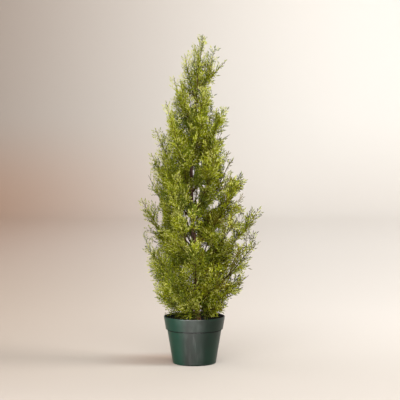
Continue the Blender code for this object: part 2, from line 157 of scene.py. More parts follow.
# From this far to the right the growth gets thinner, and at twice as far this share of it is gone
THIN_FROM, RIGHT_THINNING = 45 * MM, 0.34
RIGHT_LEAVES = 0.6  # how much longer the leaves at the right edge are
MINGLING = 16 * MM  # how far the finer growth may lie nearer to another limb than to its own

# The lean of the added sprays at a limb's foot and at its tip, and how much they turn upwards
SPRAY_LEAN = (math.radians(46), math.radians(33))
SPRAY_LIFT = 0.4
# How long the added fronds and sprays are, as shares of the limb and of the spray setting
FROND_SHARES, SPRAY_SHARES = (0.25, 0.42), (0.5, 1.25)
# Where the sprays stand closer or further apart
MORE_SPRAYS = {
    "skirt": 1.7, "low": 1.4, "collar": 0.8, "tuft": 0.6, "side_spray": 1.5, "leader": 0.6,
}
# How far out fronds, sprays and limbs may reach, as shares of the crown, and where it is more
FROND_ROOM, SPRAY_ROOM, LIMB_ROOM = (0.74, 0.97), (0.84, 1.1), (3, 3)
OUTSTANDING = {"side_spray": 1.2, "leader": 1.6, "neck_1": 1.25, "upper_4": 1.35, "upper_3": 1.1}
LIMB_RUNS = ((0.45, 0.7), (0.6, 0.85), (0.75, 1.0))  # of a limb, with a spray along each
# The first and last side growth, as shares of the length that it stands on
FROND_ENDS, SPRAY_ENDS, TWIG_ENDS = (0.15, 0.92), (0.08, 0.9), (0.12, 0.98)
FROND_ANGLE = (0.8, 0.55, 0.08)  # radians, of its sprays: at its foot, at its tip, and spread
FROND_SPRAY_PITCH, FROND_END = 9 * MM, 26 * MM  # of its sprays, and the one that ends it
LEAST_FROND, LEAST_SPRAY, LEAST_TWIG = 20 * MM, 12 * MM, 3 * MM
# How thick the fronds, sprays and twigs are at their roots, and the limbs at their tips
FROND_RADIUS, SPRAY_RADIUS, TWIG_RADIUS, TIP_RADIUS = 1.1 * MM, 0.8 * MM, 0.8 * MM, 0.5 * MM
THICK_LIMB = 200 * MM  # a shorter limb is thinner, by its length
# How unlike each other the side twigs of one parent are: out of its flat, twisted, and in length
OUT_OF_FLAT, FLAT_TWIST, LENGTH_SPREAD = 0.14, 0.2, (0.82, 1.1)
# The one that ends a parent: where it starts on it, how far it turns aside, and its length
LAST_START, LAST_ASIDE, LAST_SPREAD = 0.97, 0.1, (0.9, 1.15)
# A leaf is widest at this share of its length, and this share of its width is its ridge's height
LEAF_WIDEST, LEAF_RIDGE = 0.55, 0.28
SLIMMEST, BROADEST = 0.7, 1.2  # of the usual width, for short leaves and for long ones

# Where the crown is open from front to back: millimetres aside and up, and half of each size
OPENINGS = (
    (10, 482, 4, 7), (6, 468, 3, 5), (9, 453, 3, 6), (58, 446, 5, 8), (46, 437, 5, 4),
    (36, 430, 3, 3), (55, 761, 4, 9), (152, 247, 11, 12), (100, 168, 9, 9), (27, 494, 3, 3),
    (-6, 530, 5, 12), (-3, 460, 5, 10), (-4, 356, 4, 9), (88, 534, 6, 10), (-24, 417, 4, 10),
    (-16, 390, 3, 10), (-17, 344, 5, 9), (33, 322, 5, 5), (63, 370, 4, 5), (97, 361, 5, 9),
    (-104, 452, 4, 16), (-94, 408, 4, 18), (127, 404, 9, 6), (109, 240, 4, 8), (126, 342, 7, 5),
    (64, 630, 5, 8), (110, 460, 4, 5), (-108, 332, 5, 7), (-11, 718, 3, 4), (56, 712, 4, 5),
    (-92, 554, 5, 3), (75, 510, 4, 4), (16, 556, 3, 5),
)
OPENING_EDGE = (0.4, 2.0)  # where an opening ends, which differs from spray to spray
OPENING_WOBBLE = 0.4  # how ragged its edge is
CAMERA_ASIDE, CAMERA_DISTANCE, CAMERA_HEIGHT = 15.7, 3600, 625  # millimetres
VIEWPOINT = (CAMERA_ASIDE * MM, -CAMERA_DISTANCE * MM, CAMERA_HEIGHT * MM)

# The leaves' finishes, from the darkest to the palest and then the two odd ones, and the wood's
SHADES = ("shade", "olive", "green", "lime", "tip", "fern", "rust")
DARKEST, PALEST, FERN, RUST, STEM, TWIG = 0, 4, 5, 6, 7, 8
# What a leaf's glow starts from, and what adds to it: how far out it is (painted shade deep inside
# the crown), how new it is, the tone of its spray, its height in the crown, and its place at the
# left or the right edge (painted light at the left, painted shade at the right)
GLOW_START, PAINTED_SHADE_INSIDE, GLOW_NEW, GLOW_TONE = -0.35, 1.2, 0.8, 2.3
GLOW_HEIGHT, PAINTED_LIGHT_LEFT, PAINTED_SHADE_RIGHT = 0.9, 0.5, -0.7
TWIG_GLOW = -0.35  # what is added for a twig
# How much it differs from leaf to leaf, and how much more at the right edge and at the top
GLOW_SPREAD, SPREAD_RIGHT, SPREAD_HEIGHT = 0.74, 0.5, -0.15
GLOW_STEPS = (1.15, 1.9, 2.6, 3.4)  # the glow at which each next shade starts
# Of the sprays that are a cooler green at the left, and of a rusty green at the right edge
FERN_SHARE, RUST_SHARE = 0.3, 0.4


# ---- curves and frames --------------------------------------------------------------------------
def along(values, share):
    """A smooth curve (Catmull-Rom) through values at even steps, read at shares of its length."""
    values = np.asarray(values, float)
    last = len(values) - 1
    place = np.clip(share, 0, 1) * last
    i = np.minimum(place.astype(int), last - 1)
    t = place - i
    a, b = values[np.maximum(i - 1, 0)], values[i]
    c, d = values[i + 1], values[np.minimum(i + 2, last)]
    slope_b, slope_c = (c - a) / 2, (d - b) / 2
    return (
        b * (1 + 2 * t) * (1 - t) ** 2
        + slope_b * t * (1 - t) ** 2
        + c * t * t * (3 - 2 * t)
        - slope_c * t * t * (1 - t)
    )


def unit(vectors):
    return vectors / np.linalg.norm(vectors, axis=-1, keepdims=True)


def side_frame(direction):
    """Two unit vectors square to a direction, the second as near to up as it can be."""
    side = direction.cross(UP)
    if side.length < 1e-3:
        side = Vector((1, 0, 0))
    side.normalize()
    return side, side.cross(direction)


def between(a, b, count):
    return [a.lerp(b, k / count) for k in range(1, count)]


def ring_points(centre, direction, radii):
    """A ring square to a direction, with one radius for each point."""
    side, over = side_frame(direction)
    turns = (math.tau * (k + 0.5) / len(radii) for k in range(len(radii)))
    return [centre + (side * math.cos(a) + over * math.sin(a)) * r for a, r in zip(turns, radii)]


# ---- the trunk and the limbs, as the source has them --------------------------------------------
def fill_top():
    return POT_HEIGHT - FILL_DEPTH


def trunk_foot():
    return fill_top() + GAP


def trunk_share(height):
    return (height - trunk_foot()) / (TRUNK_TOP - trunk_foot())


def trunk_centre(height):
    share = trunk_share(height)
    return Vector((along(LEAN_X, share), along(LEAN_Y, share), height))


def trunk_radius(height):
    taper = (TRUNK_FOOT_RADIUS - TRUNK_TOP_RADIUS) * (1 - np.minimum(trunk_share(height), 1))
    return TRUNK_TOP_RADIUS + taper + FLARE * np.exp(-(height - trunk_foot()) / FLARE_HEIGHT)


class Branch:
    """One limb from the trunk to the tip of its foliage."""

    def __init__(self, name, foot, turn, reach, tip, bare, power=RISE_POWER):
        self.name, self.foot, self.reach, self.bare = name, foot, reach, bare
        self.rise, self.power = tip - foot, power
        self.out = Vector((math.cos(turn), math.sin(turn), 0))
        self.root = trunk_centre(foot)

    def point(self, share):
        return self.root + self.out * (self.reach * share) + UP * (self.rise * share**self.power)

    def direction(self, share):
        step = 0.01
        return (self.point(share + step) - self.point(max(share - step, 0))).normalized()

    def length(self):
        return math.hypot(self.reach, self.rise)

    def tier(self):
        return self.name.rsplit("_", 1)[0] if self.name[-1].isdigit() else self.name


def make_branches():
    rng = random.Random(SEED)
    branches = []
    for name, count, foot, first, tips, reaches, bare in TIERS:
        for k in range(count):
            turn = math.radians(first) + math.tau * k / count
            turn += rng.uniform(-JITTER_TURN, JITTER_TURN)
            rightness = (1 + math.cos(turn)) / 2
            reach = (reaches[1] + (reaches[0] - reaches[1]) * rightness) * MM
            tip = (tips[1] + (tips[0] - tips[1]) * rightness) * MM
            reach *= 1 + rng.uniform(-JITTER_REACH, JITTER_REACH)
            tip += rng.uniform(-JITTER_TIP, JITTER_TIP)
            branches.append(
                Branch(f"{name}_{k + 1}", foot * MM + k * FOOT_STEP, turn, reach, tip, bare)
            )
    branches.append(Branch("side_spray", 768 * MM, math.radians(-12), 76 * MM, 836 * MM, 0))
    branches.append(Branch("leader", TRUNK_TOP, 0, 14 * MM, HEIGHT, 0, power=1))
    return branches


def clear_start(branch, radius, trunk_tree):
    """The share of a limb at which its flat end, moved inwards, comes within GAP of the trunk."""
    share = 0.5
    while share > 0:
        spots = [branch.point(share)]
        for part in (0.5, 1):
            spots += ring_points(spots[0], branch.direction(share), [radius * part] * 24)
        room = min(trunk_tree.find_nearest(p)[3] for p in spots) - GAP
        if room < 0.03 * MM:
            break
        share -= 0.8 * room / branch.length()
    return share


def stem_starts(branches):
    """Where each mass's stem starts on its limb: at its bough's tip, or just clear of the trunk."""
    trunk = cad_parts["trunk"].data
    faces = [tuple(p.vertices) for p in trunk.polygons]
    tree = BVHTree.FromPolygons([v.co for v in trunk.vertices], faces)
    return [
        b.bare + GAP / b.length() if b.bare else clear_start(b, STEM_FOOT_RADIUS, tree)
        for b in branches
    ]


# ---- each mass's own space ----------------------------------------------------------------------
class Axes:
    """Lines of short straight runs, and the distance from points to each of them."""

    def __init__(self, lines):
        self.starts = np.array([line[:-1] for line in lines])
        self.runs = np.array([line[1:] for line in lines]) - self.starts

    def distances(self, points):
        """One row for each point and one column for each line."""
        offset = points[:, None, None, :] - self.starts
        share = (offset * self.runs).sum(3) / (self.runs * self.runs).sum(2)
        offset -= np.clip(share, 0, 1)[..., None] * self.runs
        return np.linalg.norm(offset, axis=3).min(2)


def axis_points(branch, end=1.0, steps=12):
    return np.array([branch.point(end * k / steps) for k in range(steps + 1)])


class Space:
    """Where a mass's foliage may lie: nearer to its own limb than to any other."""

    CHUNK = 1500  # points looked at together

    def __init__(self, branches):
        self.limbs = Axes([axis_points(b) for b in branches])
        self.boughs = Axes([axis_points(b, b.bare) for b in branches if b.bare])

    def holds(self, number, corners):
        points = np.array(corners)
        return self.free(np.full(len(points), number), points).all()

    def free(self, numbers, points, margin=SPACE_MARGIN, close=CLOSE_TO_LIMB, room=None):
        """For each point, whether it lies in the space of the mass with its number.

        margin is how much nearer its own limb has to be than any other. Room is each point's share
        of the crown, which ends only what is not this close to its limb.
        """
        room = np.ones(len(points)) if room is None else room
        parts = [slice(k, k + self.CHUNK) for k in range(0, len(points), self.CHUNK)]
        looks = [self._look(numbers[k], points[k], margin, close, room[k]) for k in parts]
        return np.concatenate(looks) if looks else np.zeros(0, bool)

    def _look(self, numbers, points, margin, close, room):
        rows = np.arange(len(points))
        distances = self.limbs.distances(points)
        own = distances[rows, numbers]
        distances[rows, numbers] = math.inf
        apart = distances.min(1) >= own + margin
        apart &= self.boughs.distances(points).min(1) >= BOUGH_FOOT_RADIUS + LIMB_MARGIN
        apart &= points[:, 2] <= HEIGHT
        apart &= (own < close) | (outness(points) < room)
        return apart & clear_of_trunk_and_pot(points)


def outness(points):
    """How far out each point is: 0 on the plant's axis and 1 at the crown's edge."""
    share = crown_share(points[:, 2])
    right, left = along(CROWN_RIGHT, share), along(CROWN_LEFT, share)
    reach = np.hypot(points[:, 0], points[:, 1])
    rightness = (1 + points[:, 0] / np.maximum(reach, MM)) / 2
    return reach / np.maximum(left + (right - left) * rightness, MM)


def crown_share(height):
    return (height - CROWN_FOOT) / (HEIGHT - CROWN_FOOT)


def clear_of_trunk_and_pot(points):
    height = points[:, 2]
    share = trunk_share(height)
    aside = np.hypot(points[:, 0] - along(LEAN_X, share), points[:, 1] - along(LEAN_Y, share))
    beside_trunk = (trunk_foot() < height) & (height < TRUNK_TOP + 2 * MM)
    clear = ~beside_trunk | (aside >= trunk_radius(height) + LIMB_MARGIN)
    above_pot = height > POT_HEIGHT + LIMB_MARGIN
    inside = np.hypot(points[:, 0], points[:, 1]) < BAND_FOOT_RADIUS - POT_WALL - LIMB_MARGIN
    return clear & (above_pot | (inside & (height > fill_top() + LIMB_MARGIN)))


# ---- the rule that a mass grows by, as the source has it ----------------------------------------
class Blade:
    """A flat toothed spray about a midrib from its root to its tip."""

    def __init__(self, root, heading, length, flat):
        self.root, self.heading, self.length, self.flat = root, heading, length, flat
        width = length * SPRAY_WIDTH
        self.aside = flat.cross(heading).normalized()
        pitch = 1 / (SPRAY_PAIRS + 0.6)
        self.notch_shares = [(k + 0.8) * pitch for k in range(SPRAY_PAIRS)]
        self.tooth_shares = [min(at + SWEEP * pitch, 0.97) for at in self.notch_shares]
        fullness = [math.sin(math.pi * (0.25 + 0.55 * at)) for at in self.notch_shares]
        self.reaches = [full * width / 2 for full in fullness]

    def line(self, share):
        return self.root + self.heading * (self.length * share)

    def tooth(self, side, k):
        return self.line(self.tooth_shares[k]) + self.aside * (side * self.reaches[k])

    def notch(self, side, k):
        return self.line(self.notch_shares[k]) + self.aside * (side * self.reaches[k] * MIDRIB)

    def test_points(self):
        found = [self.line(k / 5) for k in range(1, 6)]
        for side in (1, -1):
            inner = [self.line(0)] + [self.notch(side, k) for k in range(SPRAY_PAIRS)]
            for k in range(SPRAY_PAIRS):
                tip = self.tooth(side, k)
                found += [tip, *between(inner[k], tip, 4), *between(tip, inner[k + 1], 4)]
        return found


class ToothedStem:
    """A mass's stem with rows of long forward teeth, each drawn in to fit the mass's space."""

    def __init__(self, branch, number, start, space, rng):
        self.branch, self.start = branch, start
        pitch = (1 - start) / (STEM_TEETH + 1)
        self.ring_shares = [start + pitch * (k + 0.35) for k in range(STEM_TEETH + 1)]
        self.tooth_shares = [min(at + (1 + SWEEP) * pitch, 0.985) for at in self.ring_shares[:-1]]
        self.first_roll = rng.uniform(0, math.tau)
        self.reaches = {}
        for row in range(STEM_ROWS):
            for k in range(STEM_TEETH):
                full = math.sin(math.pi * (0.3 + 0.5 * self.tooth_shares[k]))
                reach = STEM_REACH * branch.length() * full * rng.uniform(*TOOTH_SPREAD)
                while reach > LEAST_TOOTH:
                    if space.holds(number, self.tooth_edge(row, k, reach)):
                        break
                    reach *= TOOTH_SHRINK
                self.reaches[row, k] = reach

    def place(self, share, turn, reach):
        side, over = side_frame(self.branch.direction(share))
        return self.branch.point(share) + (side * math.cos(turn) + over * math.sin(turn)) * reach

    def turn_of(self, row):
        return self.first_roll + row * math.tau / STEM_ROWS

    def tooth_edge(self, row, k, reach):
        tip = self.place(self.tooth_shares[k], self.turn_of(row), reach)
        low, high = (self.branch.point(self.ring_shares[n]) for n in (k, k + 1))
        return [tip, *between(low, tip, 4), *between(high, tip, 4)]

    def teeth(self):
        """Root, tip and flat of each tooth."""
        for (row, k), reach in self.reaches.items():
            if reach >= LEAST_TOOTH:
                root = self.branch.point(self.ring_shares[k])
                tip = self.place(self.tooth_shares[k], self.turn_of(row), reach)
                yield root, tip, (tip - root).cross(self.branch.direction(self.ring_shares[k]))


class Shoot:
    """A spray that stands on the stem, or on a twig of its own, at one place along a limb."""

    def __init__(self, branch, share, turn, lean, roll, size, twigged):
        axis = branch.direction(share)
        heading, flat = spray_frame(axis, turn, lean, roll, SHOOT_LIFT)
        twig = SHOOT_TWIG * branch.length() * size if twigged else 0
        length = SPRAY_LENGTH * branch.length() * size
        self.root = branch.point(share)
        self.twig_end = self.root + heading * twig if twigged else None
        start = self.root + heading * max(twig - SPRAY_SINK, 0)
        self.spray = Blade(start, heading, length, flat)

    def test_points(self):
        found = self.spray.test_points()
        if self.twig_end:
            found += [*between(self.root, self.twig_end, 5), self.twig_end]
        return found


def spray_frame(axis, turn, lean, roll, lift):
    """The heading and the flat of a spray that leaves a limb at a turn round it and a lean."""
    side, over = side_frame(axis)
    aside = side * math.cos(turn) + over * math.sin(turn)
    heading = axis * math.cos(lean) + aside * math.sin(lean) + UP * lift
    heading.normalize()
    flat = heading.cross(axis).cross(heading).normalized()
    flat.rotate(Matrix.Rotation(roll, 3, heading))
    return heading, flat


def mass_shoots(branch, number, space, rng):
    """The shoots of a mass that fit its space, each as large as it can be there."""
    first_share = max(branch.bare, FIRST_SHOOT)
    first_turn = rng.uniform(0, math.tau)
    for k in range(SHOOTS):
        out = (k + 0.3) / SHOOTS
        share = first_share + (LAST_SHOOT - first_share) * out
        for size in TRY_SIZES:
            shoot = try_shoot(branch, number, space, rng, share, out, size, k, first_turn)
            if shoot:
                yield shoot
                break


def try_shoot(branch, number, space, rng, share, out, size, k, first_turn):
    """A shoot of one size, turned further from its place at each try until it fits, or None."""
    for attempt in range(1, TRIES + 1):
        turn = first_turn + k * GOLDEN_TURN + rng.uniform(-SHOOT_SWING, SHOOT_SWING) * attempt
        lean = SHOOT_LEAN[0] + (SHOOT_LEAN[1] - SHOOT_LEAN[0]) * out
        lean += rng.uniform(-SHOOT_SWAY, SHOOT_SWAY)
        roll = rng.uniform(-SHOOT_ROLL, SHOOT_ROLL)
        shoot = Shoot(branch, share, turn, lean, roll, size, k < TWIG_SHOOTS)
        if space.holds(number, shoot.test_points()):
            return shoot
    return None


# ---- finer twigs and leaves ---------------------------------------------------------------------
class Twigs:
    """Many straight twigs or leaves, held as arrays with one row each."""

    FIELDS = ("root", "heading", "flat", "length", "limb", "tint", "tone", "room")

    def __init__(self, root, heading, flat, length, limb, tint, tone=None, room=None):
        self.root = np.asarray(root, float).reshape(-1, 3)
        self.heading = unit(np.asarray(heading, float).reshape(-1, 3))
        flat = np.asarray(flat, float).reshape(-1, 3)
        across = (flat * self.heading).sum(1, keepdims=True)
        self.flat = unit(flat - across * self.heading)
        self.length = np.asarray(length, float)
        self.limb = np.asarray(limb, int)
        self.tint = np.asarray(tint, float)  # 0 for a spray's oldest wood, 1 for its newest growth
        none = np.zeros(len(self.length))
        self.tone = none if tone is None else tone  # what a spray's leaves have in common
        self.room = none + 1 if room is None else room  # the spray's share of the crown

    def __len__(self):
        return len(self.length)

    def take(self, rows):
        return Twigs(*(getattr(self, field)[rows] for field in self.FIELDS))

    def point(self, share):
        return self.root + self.heading * (self.length * share)[:, None]

    def aside(self):
        return np.cross(self.flat, self.heading)


def joined(groups):
    return Twigs(*(np.concatenate([getattr(g, f) for g in groups]) for f in Twigs.FIELDS))


def is_free(twigs, share, space):
    """Whether each twig's point at a share of its length lies in its mass's space."""
    points = twigs.point(np.full(len(twigs), share))
    held = space.free(twigs.limb, points, -MINGLING, 0, twigs.room)
    return held & ~in_opening(points, twigs)


def thinned(twigs, rng):
    """The twigs that are left where the crown is less than full."""
    middle = twigs.point(np.full(len(twigs), 0.5))
    fullness = along(FULLNESS, crown_share(middle[:, 2]))
    fullness *= 1 - RIGHT_THINNING * np.clip(middle[:, 0] / THIN_FROM - 1, 0, 1)
    return twigs.take(rng.random(len(twigs)) < fullness)


def sideness(leaves, side):
    """From 0 over the trunk and beyond it to 1 at the crown's edge: side is 1 right, -1 left."""
    return np.clip(side * leaves.root[:, 0] / CROWN_RIGHT[2], 0, 1)


def leaf_fits(leaves, share):
    """Whether each leaf's point at a share of its length is clear of what it grows round."""
    points = leaves.point(np.full(len(leaves), share))
    held = clear_of_trunk_and_pot(points) & (points[:, 2] <= HEIGHT)
    return held & ~in_opening(points, leaves)


def second_tone(twigs):
    """Another number that a spray's leaves have in common, from 0 to 1."""
    return (twigs.tone * 97) % 1


def in_opening(points, twigs):
    """Whether each twig's point lies in an opening, on the line from the viewpoint through it."""
    edge = OPENING_EDGE[0] + (OPENING_EDGE[1] - OPENING_EDGE[0]) * second_tone(twigs)
    x, y, z = VIEWPOINT
    away = (points[:, 1] - y) / -y
    aside = (x + (points[:, 0] - x) / away) / MM
    up = (z + (points[:, 2] - z) / away) / MM
    wobble = np.sin(0.55 * aside + 0.21 * up) * np.sin(0.47 * up - 0.18 * aside)
    found = np.zeros(len(points), bool)
    for across, height, half_width, half_height in OPENINGS:
        off = np.hypot((aside - across) / half_width, (up - height) / half_height)
        found |= off + OPENING_WOBBLE * wobble < edge
    return found


def drawn_in(twigs, space, least):
    """Each twig cut back to where it leaves its mass's space, without those that get too short."""
    checks = 5
    share, inside = np.zeros(len(twigs)), np.ones(len(twigs), bool)
    for k in range(1, checks + 1):
        inside[inside] = is_free(twigs.take(inside), k / checks, space)
        share[inside] = k / checks
    twigs.length = twigs.length * share
    return twigs.take(twigs.length >= least)


def forked(parents, pitch, ends, angle, length, rng):
    """Side twigs in each parent's flat, left and right in turn, at a pitch between two shares.

    The angle is (at the foot, at the tip, spread), and length(share, parent's length) gives each
    one's length.
    """
    room = parents.length * (ends[1] - ends[0])
    first_side = rng.choice((-1.0, 1.0), len(parents))
    offset = rng.uniform(0, pitch, len(parents))
    groups = []
    for k in range(int(room.max() / pitch) + 1):
        here = offset + k * pitch < room
        if not here.any():
            break
        part = parents.take(here)
        share = ends[0] + (offset[here] + k * pitch) / part.length
        turn = angle[0] + (angle[1] - angle[0]) * share + rng.normal(0, angle[2], len(part))
        aside = part.aside() * (first_side[here] * (-1) ** k * np.sin(turn))[:, None]
        heading = part.heading * np.cos(turn)[:, None] + aside
        heading += part.flat * rng.normal(0, OUT_OF_FLAT, len(part))[:, None]
        groups.append(
            Twigs(
                part.point(share),
                heading,
                part.flat + part.aside() * rng.normal(0, FLAT_TWIST, len(part))[:, None],
                length(share, part.length) * rng.uniform(*LENGTH_SPREAD, len(part)),
                part.limb,
                part.tint * (1 - share) + share,
                part.tone,
                part.room,
            )
        )
    return joined(groups)


def ends_of(parents, length, rng):
    """One leaf or twig that carries on from just inside each parent's tip."""
    root = parents.point(np.full(len(parents), LAST_START))
    aside = parents.aside() * rng.normal(0, LAST_ASIDE, len(parents))[:, None]
    heading = parents.heading + aside
    size = length * rng.uniform(*LAST_SPREAD, len(parents))
    newest = np.ones(len(parents))
    return Twigs(
        root, heading, parents.flat, size, parents.limb, newest, parents.tone, parents.room
    )


# ---- meshes -------------------------------------------------------------------------------------
class Heap:
    """Like small closed shapes, joined into one mesh from arrays of their corners."""

    def __init__(self):
        self.points, self.triangles, self.slots, self.count = [], [], [], 0

    def add(self, corners, pattern, slots):
        """corners is (shapes, corners of each, 3); pattern is the triangles of one shape."""
        shapes, each = corners.shape[:2]
        starts = self.count + each * np.arange(shapes)
        self.points.append(corners.reshape(-1, 3))
        self.triangles.append((starts[:, None, None] + np.array(pattern)).reshape(-1, 3))
        self.slots.append(np.repeat(slots, len(pattern)))
        self.count += shapes * each

    def build(self, name, finishes):
        points, triangles = np.concatenate(self.points), np.concatenate(self.triangles)
        mesh = bpy.data.meshes.new(name)
        mesh.vertices.add(len(points))
        mesh.vertices.foreach_set("co", points.ravel())
        mesh.loops.add(triangles.size)
        mesh.loops.foreach_set("vertex_index", triangles.ravel())
        mesh.polygons.add(len(triangles))
        mesh.polygons.foreach_set("loop_start", np.arange(0, triangles.size, 3))
        for finish in finishes:
            mesh.materials.append(finish)
        mesh.polygons.foreach_set("material_index", np.concatenate(self.slots).astype(np.int32))
        mesh.update(calc_edges=True)
        mesh.shade_flat()
        return linked(name, mesh)


def linked(name, mesh):
    obj = bpy.data.objects.new(name, mesh)
    bpy.context.scene.collection.objects.link(obj)
    return obj


def piece(obj, slot, *nodes):
    """Rides the part's one body and stands for the nodes it replaces. The slot is not used."""
    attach(obj, BODY)
    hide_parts(*nodes)


def smooth_mesh(name, points, faces, finish, sharp_from=None):
    mesh = bpy.data.meshes.new(name)
    mesh.from_pydata([tuple(p) for p in points], [], faces)
    mesh.materials.append(finish)
    mesh.shade_smooth()
    if sharp_from:
        mesh.set_sharp_from_angle(angle=sharp_from)
    return linked(name, mesh)


def loft_faces(rings, sides, closed=True):
    """Quads between rings of points, with flat ends."""
    faces = []
    for ring in range(rings - 1):
        a = ring * sides
        for k in range(sides):
            n = (k + 1) % sides
            faces.append((a + k, a + n, a + sides + n, a + sides + k))
    if closed:
        faces.append(tuple(reversed(range(sides))))
        faces.append(tuple(range((rings - 1) * sides, rings * sides)))
    return faces


def disc(radii, sides, height):
    """Points and upward faces of rings about Z, with height(x, y) over each point."""
    points = [(0, 0, height(0, 0))]
    for radius in radii:
        for k in range(sides):
            turn = math.tau * k / sides
            x, y = radius * math.cos(turn), radius * math.sin(turn)
            points.append((x, y, height(x, y)))
    faces = [(0, 1 + k, 1 + (k + 1) % sides) for k in range(sides)]
    for face in loft_faces(len(radii), sides, closed=False):
        faces.append(tuple(1 + i for i in reversed(face)))
    return points, faces


def turned(name, profile, sides, finish):
    """A closed solid of revolution about Z from (radius, height) pairs that start and end on it."""
    points = [(0, 0, profile[0][1]), (0, 0, profile[-1][1])]
    rings = profile[1:-1]
    for radius, height in rings:
        for k in range(sides):
            turn = math.tau * k / sides
            points.append((radius * math.cos(turn), radius * math.sin(turn), height))
    faces = [tuple(2 + i for i in face) for face in loft_faces(len(rings), sides, closed=False)]
    last = 2 + (len(rings) - 1) * sides
    for k in range(sides):
        n = (k + 1) % sides
        faces.append((0, 2 + n, 2 + k))
        faces.append((1, last + k, last + n))
    return smooth_mesh(name, points, faces, finish, sharp_from=math.radians(40))


def filleted(corners):
    """A profile of (radius, height, fillet) corners, each rounded off by an arc of short runs.

    A point just before and after each arc keeps the shading of the long runs level.
    """
    steps = 6
    places = [Vector(corner[:2]) for corner in corners]
    fillets = [corner[2] for corner in corners]
    found = [places[0]]
    for before, here, after, fillet in zip(places, places[1:], places[2:], fillets[1:]):
        back, ahead = (before - here).normalized(), (after - here).normalized()
        half = back.angle(ahead) / 2
        run = fillet / math.tan(half)
        centre = here + (back + ahead).normalized() * (fillet / math.sin(half))
        first, last = here + back * run - centre, here + ahead * run - centre
        found.append(here + back * run * 1.3)
        for k in range(steps + 1):
            found.append(centre + first.slerp(last, k / steps, first).normalized() * fillet)
        found.append(here + ahead * run * 1.3)
    found.append(places[-1])
    return [tuple(p) for p in found]


# ---- finishes -----------------------------------------------------------------------------------
class Reading:
    """A node's output that takes part in Python's arithmetic, where each step adds a Math node."""

    def __init__(self, nodes, output):
        self.nodes, self.output = nodes, output

    def __add__(self, other):
        return self.nodes.math("ADD", self, other)

    def __sub__(self, other):
        return self.nodes.math("SUBTRACT", self, other)

    def __rsub__(self, other):
        return self.nodes.math("SUBTRACT", other, self)

    def __mul__(self, other):
        return self.nodes.math("MULTIPLY", self, other)

    __radd__ = __add__
    __rmul__ = __mul__


class Nodes:
    """A node tree that Python's arithmetic adds nodes to."""

    def __init__(self, tree):
        self.tree = tree

    def put(self, socket, value):
        if isinstance(value, Reading):
            self.tree.links.new(value.output, socket)
        elif socket.type == "RGBA" and len(value) == 3:
            socket.default_value = (*value, 1)
        else:
            socket.default_value = value

    def add(self, kind, settings=None, inputs=None, output=0):
        """A node of any other kind: its settings first, then its sockets' values or links."""
        node = self.tree.nodes.new(kind)
        for setting, value in (settings or {}).items():
            setattr(node, setting, value)
        for socket, value in (inputs or {}).items():
            self.put(node.inputs[socket], value)
        return Reading(self, node.outputs[output])

    def math(self, operation, a, b):
        return self.add("ShaderNodeMath", {"operation": operation}, {0: a, 1: b})

    def mix(self, factor, a, b):
        """From colour a to colour b."""
        sockets = {"Factor": factor, 6: a, 7: b}
        return self.add("ShaderNodeMix", {"data_type": "RGBA"}, sockets, output=2)

    def place(self, scale=(1, 1, 1)):
        """The point in the frame, stretched along each axis."""
        where = self.add("ShaderNodeTexCoord", output="Object")
        sockets = {0: where, 1: scale}
        return self.add("ShaderNodeVectorMath", {"operation": "MULTIPLY"}, sockets)

    def noise(self, scale, detail=3.0, stretch=(1, 1, 1)):
        sockets = {"Vector": self.place(stretch), "Scale": scale, "Detail": detail}
        return self.add("ShaderNodeTexNoise", None, sockets)

    def ramp(self, reading, low, high):
        """0 below low and 1 above high."""
        sockets = {"Value": reading, "From Min": low, "From Max": high}
        return self.add("ShaderNodeMapRange", {"interpolation_type": "SMOOTHSTEP"}, sockets)

    def parts(self, vector):
        """A vector's three numbers."""
        split = self.add("ShaderNodeSeparateXYZ", None, {0: vector})
        return [Reading(self, output) for output in split.output.node.outputs]


class Finish(Nodes):
    """A material whose Principled shader takes constants and readings."""

    def __init__(self, name, **constants):
        self.material = bpy.data.materials.new(name)
        self.material.use_nodes = True
        super().__init__(self.material.node_tree)
        self.shader = self.tree.nodes["Principled BSDF"]
        for socket, value in constants.items():
            self.feed(socket.replace("_", " "), value)

    def feed(self, socket, value):
        self.put(self.shader.inputs[socket], value)

    def bump(self, height, strength, distance):
        sockets = {"Strength": strength, "Distance": distance, "Height": height}
        self.feed("Normal", self.add("ShaderNodeBump", None, sockets))

    def cover(self, share, **constants):
        """A second Principled shader, of constants alone, over the first where share is 1."""
        sockets = {socket.replace("_", " "): value for socket, value in constants.items()}
        under = Reading(self, self.shader.outputs["BSDF"])
        over = self.add("ShaderNodeBsdfPrincipled", None, sockets)
        mixed = self.add("ShaderNodeMixShader", None, {0: share, 1: under, 2: over})
        self.put(self.tree.nodes["Material Output"].inputs["Surface"], mixed)


